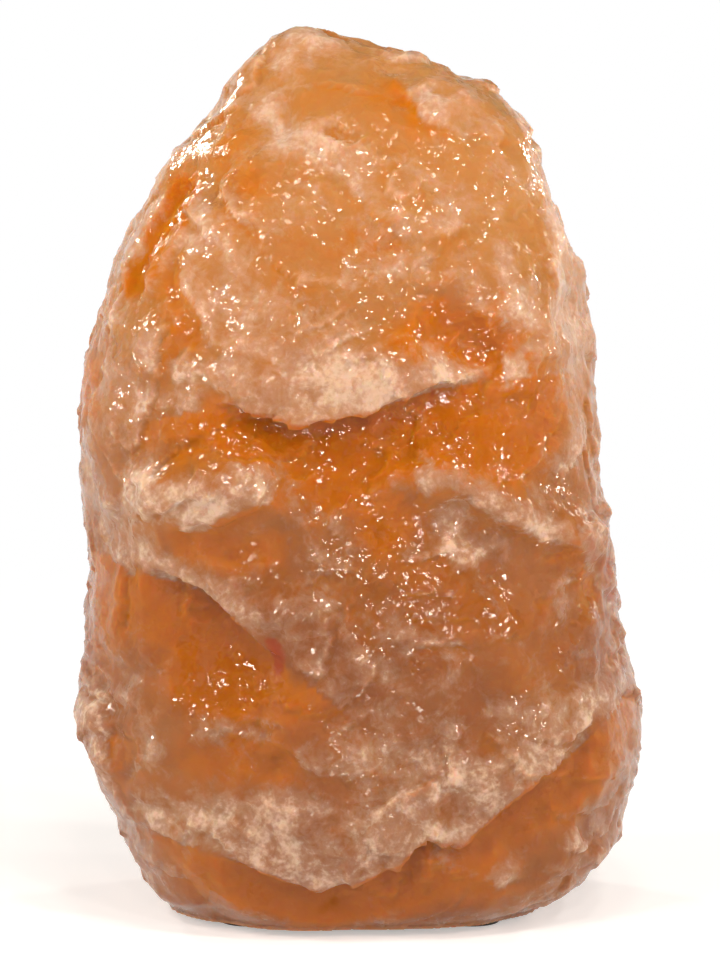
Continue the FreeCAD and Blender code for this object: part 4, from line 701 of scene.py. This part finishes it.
def salt_colour(salt, looks, place, crooked, frost_mark, amber_and_shade_mark, ragged, sugar):
    """The salt's colour, a clear body under milky haze and bruised crust, and the haze."""
    clouds = salt("TexNoise", {"Vector": place, "Scale": per_mm(CLOUD_MM), "Detail": 2.0})
    height = salt("SeparateXYZ", {0: place}, out="Z")
    low = salt("MapRange", {"Value": height, "From Min": PALE_ABOVE_MM * MM,
                            "From Max": DARK_BELOW_MM * MM})
    tint = salt("MapRange", {"Value": clouds, "From Min": 0.4, "From Max": 0.7, "To Max": 0.6})
    # The amber mask: clear salt, and painted shade in the hollows and under the ledges; deepest
    # where strongest.
    clear = salt("Math", {0: ragged, 1: -0.25, 2: amber_and_shade_mark}, operation="MULTIPLY_ADD")
    amber_and_shade = salt("MapRange", {"Value": clear, "From Min": 0.05, "From Max": 0.85}, **EASED)
    deep = salt("MapRange", {"Value": clear, "From Min": 0.7, "From Max": 1.3, "To Max": 0.7})

    # Milky haze drifts over all of it, and keeps off the clear amber. Each plate is a little
    # milkier or clearer than the next, up to its sharp edge.
    milk = salt("CombineXYZ", {"X": frost_mark, "Y": ragged, "Z": amber_and_shade_mark})
    milk = salt("VectorMath", {0: milk, 1: MILK_SHARES}, out="Value", operation="DOT_PRODUCT")
    plates = salt("TexVoronoi", {"Vector": crooked, "Scale": per_mm(PLATE_MM)}, out="Color")
    plate = salt("SeparateXYZ", {0: plates}, out="X")
    milk = salt("Math", {0: plate, 1: PLATE_SHARE, 2: milk}, operation="MULTIPLY_ADD")
    milk = salt("Math", {0: milk, 1: PLATE_SHARE / 2}, operation="SUBTRACT")
    haze = salt("MapRange", {"Value": milk, "From Min": -0.25, "From Max": 1.6}, **EASED)
    pale = salt("Mix", {SHARE: clouds, FIRST: linear(THIN_HAZE), SECOND: tuple(looks.salt_frost)},
                **COLOURS)
    # Thin milky veins, where a ridged noise crests.
    veins = salt("TexNoise", {"Vector": place, "Scale": per_mm(VEIN_MM), "Detail": 5.0,
                              "Roughness": 0.6, "Distortion": 0.8},
                 noise_type="RIDGED_MULTIFRACTAL")
    vein = salt("MapRange", {"Value": veins, "From Min": 0.55, "From Max": 0.95,
                             "To Max": 0.35}, **EASED)
    vein = salt("Math", {0: vein, 1: haze}, operation="MULTIPLY")

    # The first mix turns the body browner towards the bottom: painted shade.
    body = tuple(looks.salt_tan)
    for share, colour in ((low, linear(SHADED_LOWER_BODY)), (tint, linear(TINT)),
                          (amber_and_shade, tuple(looks.salt_amber_and_shade)), (deep, linear(DEEP_AMBER_AND_SHADE)),
                          (haze, pale), (vein, linear(VEIN))):
        body = salt("Mix", {SHARE: share, FIRST: body, SECOND: colour}, **COLOURS)
    # Painted shade: the body is scaled darker towards the bottom.
    shade = salt("MapRange", {"Value": low, "To Min": 1.0, "To Max": 0.71})
    body = salt("VectorMath", {0: body, "Scale": shade}, operation="SCALE")
    # Bruised crust: nearly white, with a ragged edge.
    crusty = salt("Math", {0: sugar, 1: 1.2, 2: milk}, operation="MULTIPLY_ADD")
    crust = salt("MapRange", {"Value": crusty, "From Min": 1.35, "From Max": 2.5,
                              "To Max": 0.6}, **EASED)
    body = salt("Mix", {SHARE: crust, FIRST: body, SECOND: linear(CRUST)}, **COLOURS)
    return body, haze


def rock_salt(looks):
    """Orange halite, broken by hand and wiped wet: translucent, with bruised, frosted ridges.

    Light goes a few millimetres in, so the colour is soft and the hollows glow; the skin is
    glossy with small cleavage facets that glint.
    """
    made = new_material("rock salt, broken and wiped")
    salt = functools.partial(add, made)
    place = salt("TexCoord", out="Object")
    frost_mark, amber_and_shade_mark, rust_mark, glitter_mark, worked = (
        salt("Attribute", out="Fac", attribute_name=name)
        for name in ("frost", "amber_and_shade", "rust", "glitter", "worked"))

    # Raggedness: broken haze, streaks and grains together, about -0.5 to 0.5.
    broken = salt("TexNoise", {"Vector": place, "Scale": per_mm(HAZE_MM), "Detail": 5.0,
                               "Roughness": 0.56, "Distortion": 0.5})
    streaks = salt("TexNoise", {"Vector": place, "Scale": per_mm(STREAK_MM), "Detail": 4.0,
                                "Roughness": 0.6, "Distortion": 1.0})
    sugar = salt("TexNoise", {"Vector": place, "Scale": per_mm(SUGAR_MM), "Detail": 3.0})
    ragged = salt("CombineXYZ", {"X": broken, "Y": streaks, "Z": sugar})
    ragged = salt("VectorMath", {0: ragged, 1: RAGGED_SHARES}, out="Value",
                  operation="DOT_PRODUCT")
    ragged = salt("Math", {0: ragged, 1: sum(RAGGED_SHARES) / 2}, operation="SUBTRACT")
    # Places that stray up to 2 mm, so that the edges of plates and facets are crooked.
    drift = salt("TexNoise", {"Vector": place, "Scale": per_mm(CROOKED_MM), "Detail": 5.0,
                              "Roughness": 0.62}, out="Color")
    crooked = salt("VectorMath", {0: drift, 1: (4 * MM,) * 3, 2: place},
                   operation="MULTIPLY_ADD")

    body, haze = salt_colour(salt, looks, place, crooked, frost_mark, amber_and_shade_mark, ragged, sugar)
    stain = salt("Math", {0: ragged, 1: 0.4, 2: rust_mark}, operation="MULTIPLY_ADD")
    rust = salt("MapRange", {"Value": stain, "From Min": 0.3, "From Max": 0.9, "To Max": 0.85},
                **EASED)
    # Sawn and drilled faces are dry and pale.
    sawn = salt("Math", {0: worked, 1: 0.7}, operation="MULTIPLY")
    for share, colour in ((rust, tuple(looks.salt_rust)), (sawn, linear(SAWN))):
        body = salt("Mix", {SHARE: share, FIRST: body, SECOND: colour}, **COLOURS)

    # Skin: cleavage facets, broken into small ones, each with a lean of its own. In the wet film
    # they are nearly flat, because they lean out of the block's slow form.
    glitter = salt("Math", {0: ragged, 1: 0.9, 2: glitter_mark}, operation="MULTIPLY_ADD")
    glitter = salt("MapRange", {"Value": glitter, "From Min": 0.0, "From Max": 0.9,
                                "To Min": 0.25}, **EASED)
    slow = salt("Attribute", out="Vector", attribute_name="slow_normal")
    wet = salt("VectorTransform", {0: slow}, vector_type="NORMAL", convert_from="OBJECT",
               convert_to="WORLD")
    dry = salt("NewGeometry", out="Normal")
    for size_mm, lean in CLEAVAGE:
        leans = salt("TexVoronoi", {"Vector": crooked, "Scale": per_mm(size_mm)}, out="Color")
        leans = salt("VectorMath", {0: leans, 1: (0.5, 0.5, 0.5)}, operation="SUBTRACT")
        amount = salt("Math", {0: glitter, 1: lean}, operation="MULTIPLY")
        wet = salt("VectorMath", {0: leans, 1: amount, 2: wet}, operation="MULTIPLY_ADD")
        dry = salt("VectorMath", {0: leans, 1: amount, 2: dry}, operation="MULTIPLY_ADD")
    wet = salt("VectorMath", {0: wet}, operation="NORMALIZE")
    wet = salt("Bump", {"Height": sugar, "Normal": wet, "Strength": 0.2, "Distance": 0.3 * MM})
    dry = salt("VectorMath", {0: dry}, operation="NORMALIZE")
    dry = salt("Bump", {"Height": sugar, "Normal": dry, "Strength": 0.4, "Distance": 0.5 * MM})
    # Under the wet film the salt is duller where it is milky, and sawn faces have no film.
    gloss = salt("MapRange", {"Value": haze, "From Min": 0.2, "From Max": 0.8, "To Min": 0.25,
                              "To Max": 0.55})
    film = salt("MapRange", {"Value": worked, "To Min": 0.48, "To Max": 0.0})

    shader = salt("BsdfPrincipled", {
        "Base Color": body, "Roughness": gloss, "Normal": dry, "IOR": 1.544,
        "Specular IOR Level": 0.06, "Subsurface Weight": 0.9, "Subsurface Scale": 3.2 * MM,
        "Subsurface Radius": (1.0, 0.5, 0.2), "Subsurface Anisotropy": 0.3,
        "Coat Weight": film, "Coat Roughness": 0.04, "Coat IOR": 1.5, "Coat Normal": wet},
        subsurface_method="RANDOM_WALK")
    return finish_material(made, shader)


class LAMP_OT_salt_block(bpy.types.Operator):
    """Make the broken block of rock salt"""
    bl_idname = "salt_lamp.block"
    bl_label = "Salt Block"

    def execute(self, context):
        looks = context.scene.salt_lamp
        block = rough_block(looks)
        mesh = block.data
        points, _ = places_and_normals(mesh)
        move_points(mesh, settle_worked_faces(points))
        shape_skin(mesh, looks)
        colour_skin(mesh)
        mesh.materials.clear()
        mesh.materials.append(rock_salt(looks))
        for face in mesh.polygons:
            face.use_smooth = True
        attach(block, "crystal")
        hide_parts("salt_crystal")
        return {"FINISHED"}


# ---------------------------------------------------------------- the fitting and the bulb
EVEN = (1.0, 1.0, 1.0)
METAL = {"Metallic": 1.0}
# Every finish of the fitting and the bulb. A row has what the real one is and how it was made, its
# two colours, the grain in mm, the least and the most roughness, the relief in mm, how the grain
# is scaled along each axis (under 1 draws it out), the shader's own values, and the nodes that
# keep the CAD's shape and have this finish.
FINISHES = {
    # Soft, matt and dark, with a fibrous nap.
    "felt": ("pressed wool felt, die cut", "2C2926", "3A3632", 0.35, (0.85, 1.0), 0.25, EVEN,
             {"Sheen Weight": 0.4, "Sheen Roughness": 0.5}, ("felt_pads",)),
    # Near black and dull, with the dust-fine pitting of its mould.
    "rubber": ("black rubber, moulded", "171717", "222120", 0.5, (0.55, 0.75), 0.05, EVEN, {},
               ("foot_disc", "cord_grommet")),
    # An even leathery grain, half matt.
    "nylon": ("black nylon, spark-eroded mould", "1B1B1C", "262627", 0.6, (0.42, 0.60), 0.06,
              EVEN, {}, ("base_cover", "socket_base")),
    # Black, with a soft shine and faint flow marks.
    "phenolic": ("black phenolic, pressed", "151516", "201F1F", 1.5, (0.22, 0.38), 0.03, EVEN,
                 {}, ("holder_cap", "holder_skirt")),
    # Pale blue-grey, drawn into fine rings by the lathe.
    "zinc": ("zinc-plated steel, turned", "C3C7CB", "A9AEB2", 0.25, (0.22, 0.42), 0.02,
             (1.0, 1.0, 4.0), METAL, ("threaded_nipple", "nipple_nut", "lock_washer",
                                      "cover_screws", "grub_screw", "wing_pins")),
    # Grey with a straw cast, and long rolling marks.
    "spring steel": ("tempered spring steel, rolled", "9A958C", "847C70", 0.3, (0.25, 0.45),
                     0.02, (1.0, 4.0, 0.15), METAL, ("clip_bracket", "clip_wing_left",
                                                     "clip_wing_right", "wing_springs")),
    # Warm white and glossy, with a slightly wavy glaze.
    "porcelain": ("steatite, glazed", "E9E5D8", "DDD7C7", 1.2, (0.08, 0.20), 0.04, EVEN, {},
                  ("contact_block",)),
    # Yellow, softly shining, browner where it has been handled.
    "brass": ("brass, stamped and tumbled", "D9B565", "B98F45", 0.4, (0.22, 0.42), 0.02, EVEN,
              METAL, ("centre_contact", "neutral_strip", "terminal_clamps", "terminal_screws",
                      "screw_shell", "shell_rivets", "bulb_cap")),
    # Bright, with the dimpled skin of a cooled melt.
    "solder": ("tin solder, set", "C9C9C6", "B2B2AE", 0.7, (0.18, 0.34), 0.06, EVEN, METAL,
               ("cap_contact",)),
    # Glossy, with faint waves.
    "black glass": ("black glass, poured", "0D0D10", "17161A", 1.0, (0.05, 0.14), 0.03, EVEN,
                    {}, ("cap_insulator",)),
    # Clear, with a trace of grey and slow waves in its skin.
    "clear glass": ("soda-lime glass, blown", "F7FAFA", "EFF4F4", 5.0, (0.0, 0.03), 0.05, EVEN,
                    {"Transmission Weight": 1.0, "IOR": 1.52}, ("glass_stem",)),
    # Grey, with lengthwise drawing marks.
    "wire": ("nickel wire, drawn", "A5A29A", "8C8981", 0.12, (0.28, 0.45), 0.01,
             (1.0, 1.0, 0.2), METAL, ("lead_wires", "support_wires")),
}
WEAR_TO_GRAIN = 12      # how many times wider than its grain a finish's worn patches are


def fine_surface(finish):
    """A material whose colour and gloss drift between two values over a fine relief."""
    name, colour, shade, grain_mm, gloss, relief_mm, stretch, own, _ = FINISHES[finish]
    made = new_material(name)
    part = functools.partial(add, made)
    place = part("TexCoord", out="Object")
    drawn = part("Mapping", {"Vector": place, "Scale": stretch})
    grain = part("TexNoise", {"Vector": drawn, "Scale": per_mm(grain_mm), "Detail": 4.0})
    wear = part("TexNoise", {"Vector": place, "Scale": per_mm(grain_mm * WEAR_TO_GRAIN),
                             "Detail": 3.0})
    tone = part("Mix", {SHARE: wear, FIRST: linear(colour), SECOND: linear(shade)}, **COLOURS)
    both = part("Math", {0: grain, 1: wear}, operation="MULTIPLY")
    shine = part("MapRange", {"Value": both, "From Min": 0.1, "From Max": 0.4,
                              "To Min": gloss[0], "To Max": gloss[1]})
    relief = part("Bump", {"Height": grain, "Strength": 0.6, "Distance": relief_mm * MM})
    shader = part("BsdfPrincipled", {"Base Color": tone, "Roughness": shine, "Normal": relief,
                                     **own})
    return finish_material(made, shader)


def glass_side(inward_mm):
    """The bulb's side from the foot of the neck to the top of the crown, as (radius, height)."""
    neck, widest = NECK_RADIUS_MM - inward_mm, GLASS_RADIUS_MM - inward_mm
    side = [(neck, NECK_FOOT_MM), (neck, SHOULDER_FOOT_MM)]
    for n in range(1, SHOULDER_STEPS):
        share = n / SHOULDER_STEPS
        ease = 0.5 - 0.5 * math.cos(math.pi * share)
        mixed = 0.5 * (share + ease)
        side.append((neck + (widest - neck) * mixed,
                     SHOULDER_FOOT_MM + (SHOULDER_TOP_MM - SHOULDER_FOOT_MM) * share))
    side.append((widest, SHOULDER_TOP_MM))
    for n in range(CROWN_STEPS + 1):
        angle = n * math.pi / 2 / CROWN_STEPS
        side.append((widest * math.cos(angle), CROWN_MM + widest * math.sin(angle)))
    return side


def spun(name, outline, steps, material):
    """A closed body of revolution about +Z from a closed outline of (radius, height) in mm."""
    form = bmesh.new()
    ring = [form.verts.new((radius * MM, 0, height * MM)) for radius, height in outline]
    edges = [form.edges.new(pair) for pair in zip(ring, ring[1:] + ring[:1])]
    bmesh.ops.spin(form, geom=ring + edges, cent=(0, 0, 0), axis=(0, 0, 1), angle=math.tau,
                   steps=steps, use_merge=True)
    bmesh.ops.remove_doubles(form, verts=form.verts, dist=0.001 * MM)
    bmesh.ops.recalc_face_normals(form, faces=form.faces)
    return from_bmesh(name, form, material)


def coil(name, material):
    """The coiled filament: a straight coil of fine wire, bent over into the arch."""
    form = bmesh.new()
    length = math.pi * ARCH_RADIUS_MM
    turns = int(length / COIL_PITCH_MM)
    steps_a_turn = 12
    start = Matrix.Translation((0, COIL_RADIUS_MM * MM, 0)) @ Matrix.Rotation(math.pi / 2, 4, "Y")
    made = bmesh.ops.create_circle(form, cap_ends=False, segments=6, radius=COIL_WIRE_MM * MM,
                                   matrix=start @ Matrix.Rotation(math.pi / 2, 4, "Y"))
    edges = list({edge for vert in made["verts"] for edge in vert.link_edges})
    bmesh.ops.spin(form, geom=made["verts"] + edges, cent=(0, 0, 0), axis=(1, 0, 0),
                   dvec=(length / turns / steps_a_turn * MM, 0, 0), angle=turns * math.tau,
                   steps=turns * steps_a_turn, use_merge=False)
    open_edges = [edge for edge in form.edges if edge.is_boundary]
    bmesh.ops.holes_fill(form, edges=open_edges, sides=0)
    for vert in form.verts:
        angle = math.pi - vert.co.x / (ARCH_RADIUS_MM * MM)
        reach = ARCH_RADIUS_MM * MM + vert.co.z
        foot = ARCH_FOOT_MM * MM
        vert.co = (reach * math.cos(angle), vert.co.y, foot + reach * math.sin(angle))
    bmesh.ops.recalc_face_normals(form, faces=form.faces)
    return from_bmesh(name, form, material)


class LAMP_OT_bulb(bpy.types.Operator):
    """Make the bulb's blown glass and its coiled filament"""
    bl_idname = "salt_lamp.bulb"
    bl_label = "Bulb"

    def execute(self, context):
        wall_mm = context.scene.salt_lamp.bulb_wall / MM
        outline = glass_side(0.0) + glass_side(wall_mm)[::-1]
        envelope = spun("bulb_envelope", outline, GLASS_STEPS, fine_surface("clear glass"))
        filament = coil("filament_coil", fine_surface("wire"))
        for piece, node, slot in ((envelope, "bulb_glass", "clear_glass"),
                                  (filament, "filament", "lamp_wire")):
            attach(piece, "bulb")
            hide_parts(node)
        return {"FINISHED"}


class LAMP_OT_fitting(bpy.types.Operator):
    """Give the fitting's own pieces their finishes"""
    bl_idname = "salt_lamp.fitting"
    bl_label = "Fitting"

    def execute(self, context):
        for finish, row in FINISHES.items():
            material = fine_surface(finish)
            for node in row[-1]:
                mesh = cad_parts[node].data
                mesh.materials.clear()
                mesh.materials.append(material)
        return {"FINISHED"}


# ---------------------------------------------------------------- stage
FLOOR_RADIUS = 6.0
WHITE_FROM, WHITE_ALL = 0.12, 0.6       # distances over which the paper turns plain white
WALL_TOP, WALL_FADE = 0.16, 0.04        # sines: the angle up to the white wall's top, its edge


def seen_directly(owner):
    """1 for the rays that show a background: camera, glossy and transmission rays."""
    shown = add(owner, "LightPath", out="Is Camera Ray")
    for ray in ("Is Glossy Ray", "Is Transmission Ray"):
        other = add(owner, "LightPath", out=ray)
        shown = add(owner, "Math", {0: shown, 1: other}, operation="MAXIMUM")
    return shown


def white_ground():
    """Seamless white paper that keeps the lamp's soft shadow and is plain white further out."""
    made = new_material("seamless white paper")
    paper = functools.partial(add, made)
    matt = paper("BsdfDiffuse", {"Color": linear("E9ECF2")})
    lift = paper("Emission", {"Strength": 0.4})
    near = paper("AddShader", {0: matt, 1: lift})
    far = paper("Emission", {"Strength": 1.0})
    place = paper("TexCoord", out="Object")
    reach = paper("VectorMath", {0: place}, out="Value", operation="LENGTH")
    distance = paper("MapRange", {"Value": reach, "From Min": WHITE_FROM,
                                  "From Max": WHITE_ALL}, **EASED)
    sheet = paper("MixShader", {0: distance, 1: near, 2: far})
    shown = paper("MixShader", {0: seen_directly(made), 1: matt, 2: sheet})
    return finish_material(made, shown)


def studio_world():
    """A dim warm room whose wall shows as plain white up to eye level."""
    world = bpy.data.worlds.new("studio")
    world.use_nodes = True
    world.node_tree.nodes.clear()
    room = add(world, "Background", {"Color": linear("F4EADF"), "Strength": 0.15})
    white = add(world, "Background", {"Color": (1, 1, 1, 1), "Strength": 1.0})
    looking = add(world, "TexCoord", out="Generated")
    upward = add(world, "SeparateXYZ", {0: looking}, out="Z")
    wall = add(world, "MapRange", {"Value": upward, "From Min": WALL_TOP + WALL_FADE,
                                   "From Max": WALL_TOP})
    shown = add(world, "Math", {0: seen_directly(world), 1: wall}, operation="MULTIPLY")
    shown = add(world, "MixShader", {0: shown, 1: room, 2: white})
    add(world, "OutputWorld", {"Surface": shown})
    return world


AIM = Vector((0.0, -0.02, 0.1158))      # what the camera and the lamps look at
LAMP_COLOUR = "FFF3E4"
# The soft lamps: width and height, share of the key power, and place.
SOFT_LAMPS = {
    "key_left": ((0.10, 0.14), 1.2, (-1.35, -0.30, 0.60)),
    "key_right": ((0.10, 0.14), 1.9, (1.40, 0.05, 0.45)),
    "key_top": ((0.18, 0.14), 1.4, (0.05, -0.60, 1.25)),
    "key_front": ((0.12, 0.12), 0.9, (0.20, -1.35, 0.09)),
    "back_left": ((0.12, 0.12), 3.0, (-0.80, 1.10, 0.75)),
    "back_right": ((0.12, 0.12), 3.0, (0.95, 1.00, 0.55)),
}
# The small lamps that make the glints, spread over the front of the room.
GLINT_LAMPS = 11
GLINT_SIZE = (0.08, 0.08)
GLINT_REACH = 1.3
GLINT_LOWEST, GLINT_SPAN = 0.12, 0.75   # sines of the angles up to them


def glint_places():
    """Places spread evenly over a quarter sphere before and above the lamp."""
    golden = math.pi * (3 - math.sqrt(5))
    for n in range(GLINT_LAMPS):
        height = GLINT_LOWEST + GLINT_SPAN * (n + 0.5) / GLINT_LAMPS
        turn = math.fmod(n * golden, math.pi) - math.pi
        level = math.sqrt(1 - height * height)
        yield Vector((level * math.cos(turn), level * math.sin(turn), height)) * GLINT_REACH


def area_lamp(name, size, power, place):
    lamp = bpy.data.lights.new(name, "AREA")
    lamp.shape = "RECTANGLE"
    lamp.size, lamp.size_y = size
    lamp.energy = power
    lamp.color = linear(LAMP_COLOUR)[:3]
    made = put_in(name, lamp)
    made.location = place
    made.rotation_euler = (AIM - Vector(place)).to_track_quat("-Z", "Y").to_euler()
    return made


class LAMP_OT_stage(bpy.types.Operator):
    """Set up the floor, the light and the camera"""
    bl_idname = "salt_lamp.stage"
    bl_label = "Stage"

    def execute(self, context):
        looks = context.scene.salt_lamp
        scene = context.scene
        scene.view_settings.view_transform = "Standard"

        form = bmesh.new()
        bmesh.ops.create_circle(form, cap_ends=True, segments=96, radius=FLOOR_RADIUS)
        floor = from_bmesh("floor", form, white_ground(), smooth=False)

        scene.world = studio_world()

        lamps = [area_lamp(name, size, looks.key_power * share, place)
                 for name, (size, share, place) in SOFT_LAMPS.items()]
        lamps += [area_lamp("glint_%d" % n, GLINT_SIZE, looks.glint_power, place)
                  for n, place in enumerate(glint_places())]

        tilt = math.radians(SEEN_FROM)
        back = Vector((0.0, -math.cos(tilt), math.sin(tilt)))
        lens = bpy.data.cameras.new("camera")
        lens.sensor_width = 36.0
        lens.lens = lens.sensor_width * looks.view_distance / looks.picture_height
        lens.clip_end = 50.0
        camera = put_in("camera", lens)
        camera.location = AIM + back * looks.view_distance
        camera.rotation_euler = (-back).to_track_quat("-Z", "Y").to_euler()
        scene.camera = camera
        return {"FINISHED"}


class LAMP_PT_panel(bpy.types.Panel):
    """Sizes, colours and buttons for the salt lamp"""
    bl_idname = "LAMP_PT_panel"
    bl_label = "Salt Lamp"
    bl_space_type = "VIEW_3D"
    bl_region_type = "UI"
    bl_category = "Salt Lamp"

    def draw(self, context):
        looks = context.scene.salt_lamp
        for name in SaltLampLooks.__annotations__:
            self.layout.prop(looks, name)
        for step in OPERATORS:
            self.layout.operator(step.bl_idname)


OPERATORS = (LAMP_OT_salt_block, LAMP_OT_bulb, LAMP_OT_fitting, LAMP_OT_stage)
CLASSES = (SaltLampLooks, *OPERATORS, LAMP_PT_panel)


def register():
    for item in CLASSES:
        bpy.utils.register_class(item)
    bpy.types.Scene.salt_lamp = bpy.props.PointerProperty(type=SaltLampLooks)


def unregister():
    del bpy.types.Scene.salt_lamp
    for item in reversed(CLASSES):
        bpy.utils.unregister_class(item)


def main():
    register()
    bpy.ops.salt_lamp.block()
    bpy.ops.salt_lamp.bulb()
    bpy.ops.salt_lamp.fitting()
    bpy.ops.salt_lamp.stage()


if __name__ == "__main__":
    main()
